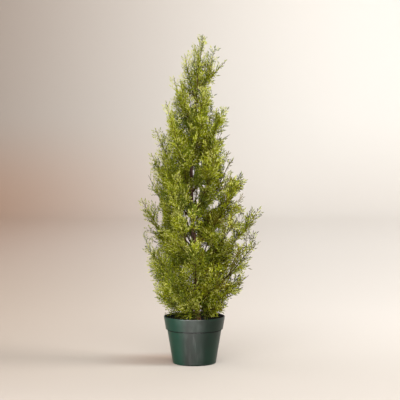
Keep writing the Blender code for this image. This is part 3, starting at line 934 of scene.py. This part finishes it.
def pot_plastic(settings):
    """Painted light in a paler green at its left, scuffed, and painted shade in black in the
    undercut of its band and inside.
    """
    finish = Finish("pot_plastic", IOR=1.3)
    x, _, z = finish.parts(finish.place())
    clouds = finish.ramp(finish.noise(14, 2), 0.35, 0.7)
    # Painted light: the plastic turns a paler green towards its left, where the light falls, with
    # faint clouds of green at random
    green = clouds * 0.15 + finish.ramp(x, -16 * MM, -43 * MM) * 0.85
    finish.feed("Base Color", finish.mix(green, settings.colour, settings.green_colour))
    scuffs = finish.ramp(finish.noise(90, 5, (1, 1, 0.25)), 0.45, 0.75)
    finish.feed("Roughness", settings.roughness + scuffs * 0.08)
    finish.bump(finish.noise(420, 3), 0.12, 0.2 * MM)

    # Painted shade: near-black lies in the groove, up to just over the band's foot, and on the wall
    # inside the band, where the shade falls
    foot = POT_HEIGHT - BAND_HEIGHT
    undercut = finish.ramp(z, foot - settings.undercut * 2.4, foot - settings.undercut * 1.6)
    undercut *= finish.ramp(z, foot + 0.8 * MM, foot + 0.2 * MM)
    level = {0: finish.place((1, 1, 0))}
    radius = finish.add("ShaderNodeVectorMath", {"operation": "LENGTH"}, level, output=1)
    slope = (BAND_TOP_RADIUS - BAND_FOOT_RADIUS) / BAND_HEIGHT
    depth = BAND_FOOT_RADIUS + (z - foot) * slope - radius
    inside = finish.ramp(depth, POT_WALL * 0.5, POT_WALL)
    inside *= finish.ramp(z, foot + 8 * MM, foot + 12 * MM)
    # Painted shade: a near-black matt cover over the groove and over the wall inside the band
    finish.cover(
        (undercut + inside) * 0.85,
        Base_Color=settings.painted_shade_colour,
        Roughness=0.95,
        Specular_IOR_Level=0.05,
    )
    return finish.material


def fill_black(settings):
    finish = Finish("fill_black", Roughness=0.92, Specular_IOR_Level=0.08)
    crumbs = finish.ramp(finish.noise(260, 4), 0.4, 0.7)
    finish.feed("Base Color", finish.mix(crumbs, settings.fill_colour, settings.crumb_colour))
    finish.bump(finish.noise(520, 4), 0.7, 0.8 * MM)
    return finish.material


def bark_brown(settings):
    finish = Finish("bark_brown", Specular_IOR_Level=0.1)
    fibres = finish.noise(300, 4, (1, 1, 0.12))
    patches = finish.noise(60, 3, (1, 1, 0.4))
    light = finish.ramp(fibres * 0.6 + patches * 0.4, 0.38, 0.66)
    finish.feed("Base Color", finish.mix(light, settings.dark_colour, settings.light_colour))
    finish.feed("Roughness", 0.86 - light * 0.16)
    finish.bump(fibres, 0.6, 0.5 * MM)
    return finish.material


def leafy(name, colour, roughness):
    """A matt finish in faint patches that are wider than a leaf."""
    finish = Finish(name, Specular_IOR_Level=0.02)
    patches = finish.ramp(finish.noise(32, 2), 0.34, 0.66)
    dark, light = [c * 0.84 for c in colour], [c * 1.16 for c in colour]
    finish.feed("Base Color", finish.mix(patches, dark, light))
    finish.feed("Roughness", roughness + patches * 0.1)
    return finish.material


# ---- settings -----------------------------------------------------------------------------------
def size_setting(name, description, millimetres):
    return FloatProperty(
        name=name, description=description, default=millimetres * MM, min=0.1 * MM,
        subtype="DISTANCE", unit="LENGTH", precision=4,
    )


def colour_setting(name, description, colour):
    return FloatVectorProperty(
        name=name, description=description, default=colour, min=0, max=1, subtype="COLOR", size=3
    )


def angle_setting(name, description, degrees):
    return FloatProperty(
        name=name, description=description, default=math.radians(degrees),
        subtype="ANGLE", unit="ROTATION",
    )


def share_setting(name, description, share):
    return FloatProperty(
        name=name, description=description, default=share, min=0, max=1, subtype="FACTOR"
    )


def strength_setting(name, description, strength):
    return FloatProperty(name=name, description=description, default=strength, min=0)


def power_setting(name, description, watts):
    return FloatProperty(name=name, description=description, default=watts, min=0, unit="POWER")


def count_setting(name, description, count, least, most):
    return IntProperty(name=name, description=description, default=count, min=least, max=most)


class PotSettings(PropertyGroup):
    sides: count_setting("Sides", "Faces round the pot", 128, 24, 512)
    foot_fillet: size_setting("Foot rounding", "Radius of the pot's rounded foot", 4)
    band_fillet: size_setting("Band rounding", "Radius of the band's lower edge", 0.8)
    undercut: size_setting("Undercut", "Depth of the groove under the band", 1.5)
    lump_height: size_setting("Fill relief", "Height of the lumps in the fill's top", 2.2)
    colour: colour_setting("Colour", "Of the pot's plastic", (0.001, 0.008, 0.004))
    # Painted light: the paler green of the plastic at its left stands in for the light that falls
    # there
    green_colour: colour_setting("Green", "Of the plastic at its left", (0.003, 0.050, 0.030))
    # Painted shade: the near-black in the groove under the band and on the wall inside the pot
    painted_shade_colour: colour_setting("Painted shade", "Inside the pot and under its band", (0.004, 0.004, 0.003))
    roughness: share_setting("Roughness", "Of the plastic, from gloss to matt", 0.34)
    fill_colour: colour_setting("Fill colour", "Of the fill", (0.006, 0.006, 0.006))
    crumb_colour: colour_setting("Crumb colour", "Of crumbs in the fill", (0.022, 0.018, 0.014))


class BarkSettings(PropertyGroup):
    relief: size_setting("Relief", "Depth of the ridges in the trunk's bark", 0.7)
    ridges: count_setting("Ridges", "Ridges round the trunk", 9, 3, 40)
    dark_colour: colour_setting("Dark bark", "Bark in the furrows", (0.048, 0.021, 0.012))
    light_colour: colour_setting("Light bark", "Bark on the ridges", (0.190, 0.088, 0.050))


class FoliageSettings(PropertyGroup):
    leaf_length: size_setting("Leaf length", "Of one leaf", 8.8)
    leaf_width: size_setting("Leaf width", "Of one leaf at its widest", 2.15)
    leaf_pitch: size_setting("Leaf pitch", "From one leaf to the next along a twig", 3.4)
    leaf_angle: angle_setting("Leaf angle", "Between a leaf and its twig", 32)
    twig_pitch: size_setting("Twig pitch", "From one side twig to the next along a spray", 7.5)
    twig_angle: angle_setting("Twig angle", "Between a side twig and its spray", 36)
    spray_pitch: size_setting("Spray pitch", "From one spray to the next along a limb", 5.0)
    spray_length: size_setting("Spray length", "Of a spray on a limb", 62)
    frond_pitch: size_setting("Frond pitch", "From one frond to the next along a limb", 50)
    # Painted shade: the near-black of the leaves deep inside the crown and of the darkest at its
    # right edge
    shade_colour: colour_setting("Shade", "Of the innermost leaves", (0.021, 0.021, 0.001))
    olive_colour: colour_setting("Olive", "Of the sprays in the shade", (0.122, 0.134, 0.003))
    green_colour: colour_setting("Green", "Of the sprays further out", (0.215, 0.256, 0.006))
    lime_colour: colour_setting("Lime", "Of the youngest sprays", (0.362, 0.412, 0.016))
    tip_colour: colour_setting("Tips", "Of the leaves at the ends of sprays", (0.590, 0.612, 0.150))
    fern_colour: colour_setting("Fern", "Of some sprays at the left", (0.125, 0.175, 0.013))
    rust_colour: colour_setting("Rust", "Of some sprays at the right", (0.135, 0.118, 0.006))
    stem_colour: colour_setting("Stem", "Of the limbs in the foliage", (0.058, 0.034, 0.012))
    twig_colour: colour_setting("Twig", "Of the sprays' own twigs", (0.145, 0.128, 0.026))
    roughness: share_setting("Roughness", "Of the leaves and the twigs", 0.6)
    stem_roughness: share_setting("Stem roughness", "Of the limbs in the foliage", 0.75)


class StageSettings(PropertyGroup):
    camera_height: size_setting("Camera height", "Above the floor", CAMERA_HEIGHT)
    camera_distance: size_setting("Camera distance", "From the plant", CAMERA_DISTANCE)
    camera_aside: size_setting("Camera offset", "To the right of the plant", CAMERA_ASIDE)
    camera_pitch: angle_setting("Camera pitch", "Down from level", 2.70)
    focal_length: FloatProperty(
        name="Focal length", description="Of the camera", default=116.75, min=10, unit="CAMERA"
    )
    wall_distance: size_setting("Wall distance", "From the plant to the wall behind it", 8700)
    cove_radius: size_setting("Cove radius", "Where the floor turns up into the wall", 2200)
    floor_colour: colour_setting("Floor", "Of the floor by the plant", (0.80, 0.77, 0.745))
    # Painted shade: the floor's colour at its left, where less light falls
    painted_shade_left_floor_colour: colour_setting("Left floor", "Of the floor at its left", (0.56, 0.455, 0.38))
    # Painted shade: the floor's colour in front of the plant
    painted_shade_near_floor_colour: colour_setting("Near floor", "In front of the plant", (0.38, 0.33, 0.29))
    # Painted shadow: its colour on the floor beside the pot's foot
    painted_shadow_colour: colour_setting("Side floor", "Beside the pot's foot", (0.37, 0.22, 0.15))
    # Painted shade: the floor's colour far behind at the left
    painted_shade_far_floor_colour: colour_setting("Far floor", "Far behind at the left", (0.465, 0.30, 0.22))
    # Painted shade: the wall's colour at its left, where less light falls
    painted_shade_wall_colour: colour_setting("Dark wall", "At the left", (0.325, 0.262, 0.225))
    light_wall_colour: colour_setting("Light wall", "At the right", (0.89, 0.885, 0.875))
    sky_colour: colour_setting("Sky colour", "Of the even light", (1.0, 0.955, 0.885))
    sky_strength: strength_setting("Sky", "Even light from above and the left", 0.65)
    right_strength: strength_setting("Right", "Even light from the right", 0.1)
    front_strength: strength_setting("Front", "The bright patch in front", 0.8)
    sides_strength: strength_setting("Sides", "The low bright patches at both sides", 2.4)
    lamp_colour: colour_setting("Lamp colour", "Of the soft lights", (1.0, 0.97, 0.93))
    key_power: power_setting("Key light", "Of the light high in front", 55)
    side_power: power_setting("Side light", "Of the light at the right", 210)
    sheen_power: power_setting("Sheen light", "Of the low light that only gloss shows", 265)
    wall_power: power_setting("Wall light", "Of the light towards the wall", 74)


# ---- pieces -------------------------------------------------------------------------------------
class TOPIARY_OT_pot(Operator):
    """Turns the pot, with its banded rim and rounded foot"""

    bl_idname = "topiary.pot"
    bl_label = "Pot"

    def execute(self, context):
        settings = context.scene.topiary_pot
        band_foot = POT_HEIGHT - BAND_HEIGHT
        wall, undercut = POT_WALL, settings.undercut
        groove_foot = band_foot - 2 * undercut
        groove_radius = POT_NECK_RADIUS - undercut
        taper = (POT_NECK_RADIUS - POT_FOOT_RADIUS) / band_foot
        body_radius = POT_NECK_RADIUS - 2 * undercut * taper
        profile = filleted(
            [
                (0, 0, 0),
                (POT_FOOT_RADIUS, 0, settings.foot_fillet),
                (body_radius, groove_foot, undercut * 0.2),
                (groove_radius, groove_foot + undercut * 0.5, undercut * 0.2),
                (groove_radius, band_foot, undercut * 0.2),
                (BAND_FOOT_RADIUS, band_foot, settings.band_fillet),
                (BAND_TOP_RADIUS, POT_HEIGHT, wall * 0.45),
                (BAND_TOP_RADIUS - wall, POT_HEIGHT, wall * 0.45),
                (POT_NECK_RADIUS - wall, band_foot, 2 * wall),
                (POT_FOOT_RADIUS - wall, POT_FLOOR, wall),
                (0, POT_FLOOR, 0),
            ]
        )
        pot = turned("pot_shell", profile, settings.sides, pot_plastic(settings))
        piece(pot, "pot_plastic", "pot")
        return {"FINISHED"}


class TOPIARY_OT_fill(Operator):
    """Makes the rough black fill that the trunk stands in"""

    bl_idname = "topiary.fill"
    bl_label = "Fill"

    def execute(self, context):
        settings = context.scene.topiary_pot
        low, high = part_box("fill")
        rings, sides = 30, 96

        def height(x, y):
            lumps = noise.fractal(Vector((x, y, 0)) / (9 * MM), 0.8, 2.1, 4)
            return high.z - settings.lump_height * (0.5 - 0.5 * max(min(lumps, 1), -1))

        points, faces = disc([high.x * k / rings for k in range(1, rings + 1)], sides, height)
        rim, foot = len(points) - sides, len(points)
        foot_radius = POT_FOOT_RADIUS - 2 * POT_WALL
        for k in range(sides):
            turn = math.tau * k / sides
            points.append((foot_radius * math.cos(turn), foot_radius * math.sin(turn), low.z))
            n = (k + 1) % sides
            faces.append((rim + n, rim + k, foot + k, foot + n))
        faces.append(tuple(reversed(range(foot, foot + sides))))
        piece(smooth_mesh("pot_fill", points, faces, fill_black(settings)), "ballast", "fill")
        return {"FINISHED"}


def barked_limb(name, centres, directions, radii, sides, settings, finish):
    """A tapering limb whose bark stands in ridges that wander along it."""
    points = []
    travelled = 0
    for k, (centre, direction, radius) in enumerate(zip(centres, directions, radii)):
        if k:
            travelled += (centre - centres[k - 1]).length
        ring = []
        for s in range(sides):
            turn = math.tau * s / sides
            wander = noise.noise(Vector((math.cos(turn), math.sin(turn), travelled / (40 * MM))))
            ridge = math.sin(turn * settings.ridges + 5 * wander)
            place = Vector((3 * math.cos(turn), 3 * math.sin(turn), travelled / (7 * MM)))
            crack = noise.noise(place)
            depth = settings.relief * min(radius / TRUNK_FOOT_RADIUS, 1)
            ring.append(radius + depth * (0.45 * ridge + 0.9 * crack - 0.4))
        points += ring_points(centre, direction, ring)
    return smooth_mesh(name, points, loft_faces(len(centres), sides), finish, math.radians(80))


class TOPIARY_OT_trunk(Operator):
    """Makes the trunk with the relief of its bark"""

    bl_idname = "topiary.trunk"
    bl_label = "Trunk"

    def execute(self, context):
        settings = context.scene.topiary_bark
        low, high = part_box("trunk")
        rings, sides = 340, 40
        heights = [low.z + (high.z - low.z) * k / rings for k in range(rings + 1)]
        heights[0] -= context.scene.topiary_pot.lump_height  # its foot stands in the fill's lumps
        centres = [trunk_centre(h) for h in heights]
        radii = [float(trunk_radius(h)) for h in heights]
        finish = bark_brown(settings)
        ups = [UP] * len(heights)
        trunk = barked_limb("trunk_bark", centres, ups, radii, sides, settings, finish)
        piece(trunk, "bark", "trunk")
        return {"FINISHED"}


class TOPIARY_OT_boughs(Operator):
    """Makes the bare boughs of the lower tier with the relief of their bark"""

    bl_idname = "topiary.boughs"
    bl_label = "Boughs"

    def execute(self, context):
        settings = context.scene.topiary_bark
        finish = bark_brown(settings)
        rings, sides = 48, 24
        for branch in (b for b in make_branches() if b.bare):
            shares = [branch.bare * k / rings for k in range(rings + 1)]
            step = (BOUGH_TIP_RADIUS - BOUGH_FOOT_RADIUS) / rings
            radii = [BOUGH_FOOT_RADIUS + step * k for k in range(rings + 1)]
            centres = [branch.point(s) for s in shares]
            directions = [branch.direction(s) for s in shares]
            name = "bough_bark_" + branch.name
            bough = barked_limb(name, centres, directions, radii, sides, settings, finish)
            piece(bough, "bark", "bough_" + branch.name)
        return {"FINISHED"}


class TOPIARY_OT_foliage(Operator):
    """Grows the stems, twigs and leaves of every mass, each in the mass's own space"""

    bl_idname = "topiary.foliage"
    bl_label = "Foliage"

    # The triangles of a leaf's root, tip, left and right, and of a spike's three feet and tip
    LEAF = ((0, 2, 1), (0, 1, 3), (0, 3, 2), (1, 2, 3))
    SPIKE = ((0, 1, 2), (0, 3, 1), (1, 3, 2), (2, 3, 0))

    def execute(self, context):
        settings = context.scene.topiary_foliage
        self.branches = make_branches()
        self.space = Space(self.branches)
        self.rng = np.random.default_rng(SEED)
        self.dice = random.Random(SEED)
        fronds, sprays = self.source_growth()
        more = self.round_limbs(
            settings.frond_pitch, lambda limb: limb * self.dice.uniform(*FROND_SHARES)
        )
        fronds = self.fitted(joined([fronds, more]), FROND_ROOM, LEAST_FROND)
        more = self.round_limbs(
            settings.spray_pitch,
            lambda limb: settings.spray_length * self.dice.uniform(*SPRAY_SHARES),
        )
        sprays = joined([sprays, more, self.frond_sprays(fronds)])
        sprays = thinned(self.fitted(sprays, SPRAY_ROOM, LEAST_SPRAY), self.rng)
        sprays = joined([sprays, self.fitted(self.limb_ends(), LIMB_ROOM, LEAST_SPRAY)])
        twigs = self.side_twigs(sprays, settings)
        leaves = self.all_leaves(sprays, twigs, settings)
        self.build(fronds, sprays, twigs, leaves, settings)
        return {"FINISHED"}

    def fitted(self, twigs, room, least):
        """Sprays or fronds, each with a tone of its own and cut back to its share of the crown."""
        factors = np.array([OUTSTANDING.get(branch.name, 1) for branch in self.branches])
        twigs.tone = self.rng.random(len(twigs))
        twigs.room = self.rng.uniform(*room, len(twigs)) * factors[twigs.limb]
        return drawn_in(twigs, self.space, least)

    def source_growth(self):
        """The fronds and sprays at the places of the source's shoots and teeth."""
        fronds, sprays = [], []
        for number, start in enumerate(stem_starts(self.branches)):
            branch = self.branches[number]
            rng = random.Random(SEED * 1000 + number)
            stem = ToothedStem(branch, number, start, self.space, rng)
            for root, tip, flat in stem.teeth():
                sprays.append((root, tip - root, flat, (tip - root).length, number, 0.3))
            for shoot in mass_shoots(branch, number, self.space, rng):
                blade = shoot.spray
                length = (blade.line(1) - shoot.root).length
                fronds.append((shoot.root, blade.heading, blade.flat, length, number, 0.2))
        return Twigs(*zip(*fronds)), Twigs(*zip(*sprays))

    def round_limbs(self, pitch, length):
        """More fronds or sprays round every limb, by the rule of the source's shoots.

        length(limb's length) gives each one's length.
        """
        rows = []
        for number, branch in enumerate(self.branches):
            first = max(branch.bare, FIRST_SHOOT)
            closeness = MORE_SPRAYS.get(branch.tier(), 1)
            count = int((1 - first) * branch.length() * closeness / pitch)
            turn = self.dice.uniform(0, math.tau)
            for k in range(count):
                out = (k + self.dice.random()) / count
                share = first + (0.99 - first) * out
                turn += GOLDEN_TURN + self.dice.uniform(-SHOOT_SWING, SHOOT_SWING)
                lean = SPRAY_LEAN[0] + (SPRAY_LEAN[1] - SPRAY_LEAN[0]) * out
                lean += self.dice.uniform(-SHOOT_SWAY, SHOOT_SWAY)
                roll = self.dice.uniform(-SHOOT_ROLL, SHOOT_ROLL)
                axis = branch.direction(share)
                heading, flat = spray_frame(axis, turn, lean, roll, SPRAY_LIFT)
                root = branch.point(share)
                size = length(branch.length())
                size *= 1.1 - 0.6 * crown_share(root.z) ** 2  # shorter towards the top
                rows.append((root, heading, flat, size, number, 0.2))
        return Twigs(*zip(*rows))

    def limb_ends(self):
        """Sprays along the last runs of every limb itself, each square to the one before."""
        rows = []
        for number, branch in enumerate(self.branches):
            for k, (first, last) in enumerate(LIMB_RUNS):
                root, tip = branch.point(first), branch.point(last)
                flat = side_frame(branch.direction(first))[k % 2]
                rows.append((root, tip - root, flat, (tip - root).length, number, 0.2))
        return Twigs(*zip(*rows))

    def frond_sprays(self, fronds):
        """Sprays along both sides of each frond's midrib, and one at its end."""

        def outline(share, length):
            return 0.42 * length * np.sin(np.pi * (0.25 + 0.6 * share))

        side = forked(fronds, FROND_SPRAY_PITCH, FROND_ENDS, FROND_ANGLE, outline, self.rng)
        return joined([side, ends_of(fronds, FROND_END, self.rng)])

    def side_twigs(self, sprays, settings):
        """Twigs in each spray's flat, longest a little before its middle."""

        def outline(share, length):
            widest = np.minimum(0.42 * length, 20 * MM)
            return widest * np.sin(np.pi * (0.3 + 0.62 * share)) + 2 * MM

        angle = (settings.twig_angle * 1.1, settings.twig_angle * 0.85, 0.1)
        twigs = forked(sprays, settings.twig_pitch, SPRAY_ENDS, angle, outline, self.rng)
        return thinned(drawn_in(twigs, self.space, LEAST_TWIG), self.rng)

    def all_leaves(self, sprays, twigs, settings):
        """Leaves along every twig, further apart along every spray, and one at each end."""
        angle = (settings.leaf_angle * 1.15, settings.leaf_angle * 0.85, 0.1)
        pitch, size = settings.leaf_pitch, settings.leaf_length

        def length(share, _):
            return size * (1.05 - 0.25 * share)

        leaves = joined(
            [
                forked(twigs, pitch, TWIG_ENDS, angle, length, self.rng),
                ends_of(twigs, size, self.rng),
                forked(sprays, pitch * 1.6, TWIG_ENDS, angle, length, self.rng),
                ends_of(sprays, size, self.rng),
            ]
        )
        leaves.length *= 1 + RIGHT_LEAVES * sideness(leaves, 1)
        return leaves.take(leaf_fits(leaves, 1) & leaf_fits(leaves, 0.5))

    def build(self, fronds, sprays, twigs, leaves, settings):
        """One piece of leaves and one of twigs for each group of tiers."""
        shades = [
            leafy("foliage_" + name, getattr(settings, name + "_colour"), settings.roughness)
            for name in SHADES
        ]
        stem_finish = leafy("stem_brown", settings.stem_colour, settings.stem_roughness)
        twig_finish = leafy("twig_olive", settings.twig_colour, settings.roughness)
        leaf_slots, twig_slots = self.leaf_shades(leaves, 0), self.leaf_shades(twigs, TWIG_GLOW)
        wood = (
            (fronds, FROND_RADIUS, np.full(len(fronds), STEM)),
            (sprays, SPRAY_RADIUS, np.full(len(sprays), TWIG)),
            (twigs, TWIG_RADIUS, twig_slots),
        )
        for tiers in LEAF_GROUPS:
            numbers = [n for n, b in enumerate(self.branches) if b.tier() in tiers]
            nodes = ["mass_" + self.branches[n].name for n in numbers]

            heap = Heap()
            mine = np.isin(leaves.limb, numbers)
            heap.add(self.leaf_corners(leaves.take(mine), settings), self.LEAF, leaf_slots[mine])
            piece(heap.build("leaves_" + tiers[0], shades), "foliage", *nodes)

            heap = Heap()
            for group, radius, slots in wood:
                mine = np.isin(group.limb, numbers)
                heap.add(self.spike_corners(group.take(mine), radius), self.SPIKE, slots[mine])
            for n in numbers:
                self.add_stem(heap, self.branches[n])
            finishes = [*shades, stem_finish, twig_finish]
            piece(heap.build("twigs_" + tiers[0], finishes), "foliage", *nodes)

    def leaf_shades(self, leaves, extra):
        """The finish of each leaf: its spray's own green, and paler at the end of the spray, with
        painted shade deep inside the crown and at the right edge and painted light at the left
        edge.
        """
        height = crown_share(leaves.root[:, 2])
        left, right = sideness(leaves, -1), sideness(leaves, 1)
        # Painted shade: the further inside the crown a leaf is, the darker it is
        glow = GLOW_START + extra + PAINTED_SHADE_INSIDE * np.clip(outness(leaves.root), 0, 1)
        glow += GLOW_NEW * leaves.tint + GLOW_TONE * leaves.tone + GLOW_HEIGHT * height**3
        # Painted light at the left edge and painted shade at the right edge
        glow += PAINTED_LIGHT_LEFT * left + PAINTED_SHADE_RIGHT * right
        spread = GLOW_SPREAD + SPREAD_RIGHT * right + SPREAD_HEIGHT * height
        glow += spread * self.rng.normal(0, 1, len(leaves))
        shades = np.digitize(glow, GLOW_STEPS)
        tone, plain = second_tone(leaves), shades < PALEST
        shades[plain & (shades > DARKEST) & (tone < FERN_SHARE * (1 - right))] = FERN
        shades[plain & (tone > 1 - RUST_SHARE * right)] = RUST
        return shades

    def leaf_corners(self, leaves, settings):
        """Root, tip, left and right of each leaf, a closed kite with a ridge along its back."""
        long = leaves.length / settings.leaf_length
        width = settings.leaf_width * np.clip(long, SLIMMEST, BROADEST)
        middle = leaves.point(np.full(len(leaves), LEAF_WIDEST))
        middle -= leaves.flat * (width * LEAF_RIDGE)[:, None]
        aside = leaves.aside() * (width / 2)[:, None]
        tip = leaves.point(np.ones(len(leaves)))
        return np.stack([leaves.root, tip, middle + aside, middle - aside], 1)

    def spike_corners(self, twigs, radius):
        """Three corners round each twig's root, and its tip."""
        aside, flat = twigs.aside() * radius, twigs.flat * radius
        low = [
            twigs.root + aside * math.cos(a) + flat * math.sin(a)
            for a in (math.tau * k / 3 for k in range(3))
        ]
        return np.stack([*low, twigs.point(np.ones(len(twigs)))], 1)

    def add_stem(self, heap, branch):
        """The limb itself, inside its foliage, as six-sided runs."""
        rings, sides = 16, 6
        thick = STEM_FOOT_RADIUS * min(1, branch.length() / THICK_LIMB)
        corners = []
        for k in range(rings + 1):
            share = branch.bare + (1 - branch.bare) * k / rings
            radius = thick * (1 - k / rings) ** 1.4 + TIP_RADIUS
            corners += ring_points(branch.point(share), branch.direction(share), [radius] * sides)
        pattern = []
        for face in loft_faces(rings + 1, sides):
            pattern += [(face[0], face[k], face[k + 1]) for k in range(1, len(face) - 1)]
        heap.add(np.array(corners)[None], pattern, np.full(1, STEM))


class TOPIARY_OT_stage(Operator):
    """Sets the pale floor and backdrop, the soft lights and the camera"""

    bl_idname = "topiary.stage"
    bl_label = "Stage"

    def execute(self, context):
        settings = context.scene.topiary_stage
        self.make_backdrop(settings)
        self.make_lights(context.scene, settings)
        self.make_camera(context.scene, settings)
        return {"FINISHED"}

    def make_backdrop(self, settings):
        """A wide floor that turns up into a wall behind the plant."""
        wall, cove = settings.wall_distance, settings.cove_radius
        front, top, half_width = -12, 8, 14
        steps = 24
        profile = [(front + (wall - cove - front) * k / steps, 0) for k in range(steps)]
        for k in range(steps + 1):
            turn = math.pi / 2 * k / steps
            profile.append((wall - cove + cove * math.sin(turn), cove - cove * math.cos(turn)))
        profile.append((wall, top))
        across = [half_width * (2 * k / steps - 1) for k in range(steps + 1)]
        points = [(x, y, z) for y, z in profile for x in across]
        faces = []
        for row in range(len(profile) - 1):
            for k in range(steps):
                a = row * len(across) + k
                faces.append((a, a + 1, a + 1 + len(across), a + len(across)))
        smooth_mesh("backdrop", points, faces, self.backdrop_finish(settings))

    def backdrop_finish(self, settings):
        """Paint that changes from place to place, in metres: x aside, y back and z up, with painted
        shade at the left, in front and far behind, and a painted shadow at the left of the pot's
        foot.
        """
        finish = Finish("backdrop_paint", Roughness=0.9)
        x, y, z = finish.parts(finish.place())
        light = settings.light_wall_colour
        # Painted shade: the wall darkens from its right to its left
        wall = finish.mix(finish.ramp(x, -3.4, 1.7), settings.painted_shade_wall_colour, light)
        # Painted shade: the floor far behind darkens towards the left
        far = finish.mix(finish.ramp(x, -2.2, 0.8) * 0.87, settings.painted_shade_far_floor_colour, light)
        # Painted shade: the floor darkens towards the left
        left, middle = settings.painted_shade_left_floor_colour, settings.floor_colour
        floor = finish.mix(finish.ramp(x, -1.2, 0.7), left, middle)
        # Painted shade: the floor darkens towards the front
        floor = finish.mix(finish.ramp(y, 1.2, -1.2) * 0.6, floor, settings.painted_shade_near_floor_colour)
        # Painted shadow: a darker, warm patch on the floor at the left of the pot's foot, darkest
        # next to it
        across = finish.ramp(x, -0.32, -0.06) * finish.ramp(x, 0.02, -0.03)
        painted_shadow_depth = finish.ramp(y, 0.2, 0.08) * finish.ramp(y, -0.07, 0.01)
        floor = finish.mix(across * painted_shadow_depth * 0.62, floor, settings.painted_shadow_colour)
        floor = finish.mix(finish.ramp(y, 0.3, 4.5), floor, far)
        finish.feed("Base Color", finish.mix(finish.ramp(z, 0.0, 0.9), floor, wall))
        return finish.material

    def make_lights(self, scene, settings):
        self.make_sky(scene, settings)
        soft, colour = self.soft_light, settings.lamp_colour
        crown, pot, wall = (0, 0, 0.4), (0, 0, 0.1), (2, settings.wall_distance, 0.5)
        soft("key_light", settings.key_power, colour, (-0.3, -3.1, 2.9), (3.6, 2.8), crown)
        soft("wall_light", settings.wall_power, colour, (4.5, 3.5, 3.0), (4, 3), wall)
        side = soft("side_light", settings.side_power, colour, (4.2, -0.75, 1.7), (2.2, 1), crown)
        side.visible_glossy = False
        place, size = (-0.31, -1.3, 0.15), (2.4, 0.26)
        sheen = soft("sheen_light", settings.sheen_power, colour, place, size, pot)
        sheen.visible_diffuse = False

    def make_sky(self, scene, settings):
        """Even light from above, dim at the right, with bright patches in front and beside."""
        world = bpy.data.worlds.new("even_light")
        world.use_nodes = True
        sky = Nodes(world.node_tree)
        background = world.node_tree.nodes["Background"]
        sky.put(background.inputs["Color"], settings.sky_colour)
        x, y, z = sky.parts(sky.add("ShaderNodeTexCoord", output="Generated"))
        right = sky.ramp(x, 0.2, 0.7)
        front = sky.ramp(x * 0.3 - y, 0.5, 0.75) * sky.ramp(z, 0.75, 0.5)
        sides = sky.ramp(y * 0.3 - x * 0.95, 0.72, 0.92) + sky.ramp(y * 0.3 + x * 0.95, 0.8, 0.95)
        sides *= sky.ramp(z, 0.5, 0.2)
        strength = settings.sky_strength * (1 - right) + settings.right_strength * right
        strength += front * settings.front_strength + sides * settings.sides_strength
        sky.put(background.inputs["Strength"], strength)
        scene.world = world

    def soft_light(self, name, power, colour, place, size, aim):
        light = bpy.data.lights.new(name, "AREA")
        light.shape = "RECTANGLE"
        light.size, light.size_y = size
        light.energy = power
        light.color = colour
        obj = bpy.data.objects.new(name, light)
        obj.location = place
        obj.rotation_euler = (Vector(aim) - obj.location).to_track_quat("-Z", "Y").to_euler()
        obj.visible_camera = False
        bpy.context.scene.collection.objects.link(obj)
        return obj

    def make_camera(self, scene, settings):
        camera = bpy.data.objects.new("camera", bpy.data.cameras.new("camera"))
        camera.data.lens = settings.focal_length
        camera.location = (settings.camera_aside, -settings.camera_distance, settings.camera_height)
        camera.rotation_euler = (math.pi / 2 - settings.camera_pitch, 0, 0)
        scene.collection.objects.link(camera)
        scene.camera = camera
        scene.view_settings.view_transform = "Standard"


class TOPIARY_PT_pieces(Panel):
    """The plant's pieces and their settings"""

    bl_idname = "TOPIARY_PT_pieces"
    bl_label = "Cedar topiary"
    bl_space_type = "VIEW_3D"
    bl_region_type = "UI"
    bl_category = "Topiary"

    def draw(self, context):
        for name, operators in PARTS.items():
            box = self.layout.box()
            group = getattr(context.scene, "topiary_" + name)
            for key in group.__annotations__:
                box.prop(group, key)
            for operator in operators:
                box.operator(operator.bl_idname)


SETTINGS = {
    "pot": PotSettings,
    "bark": BarkSettings,
    "foliage": FoliageSettings,
    "stage": StageSettings,
}
PARTS = {
    "pot": (TOPIARY_OT_pot, TOPIARY_OT_fill),
    "bark": (TOPIARY_OT_trunk, TOPIARY_OT_boughs),
    "foliage": (TOPIARY_OT_foliage,),
    "stage": (TOPIARY_OT_stage,),
}


def classes():
    operators = [operator for group in PARTS.values() for operator in group]
    return [*SETTINGS.values(), *operators, TOPIARY_PT_pieces]


def register():
    for cls in classes():
        bpy.utils.register_class(cls)
    for name, group in SETTINGS.items():
        setattr(bpy.types.Scene, "topiary_" + name, PointerProperty(type=group))


def unregister():
    for name in SETTINGS:
        delattr(bpy.types.Scene, "topiary_" + name)
    for cls in reversed(classes()):
        bpy.utils.unregister_class(cls)


def main():
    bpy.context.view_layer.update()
    register()
    bpy.ops.topiary.pot()
    bpy.ops.topiary.fill()
    bpy.ops.topiary.trunk()
    bpy.ops.topiary.boughs()
    bpy.ops.topiary.foliage()
    bpy.ops.topiary.stage()


if __name__ == "__main__":
    main()
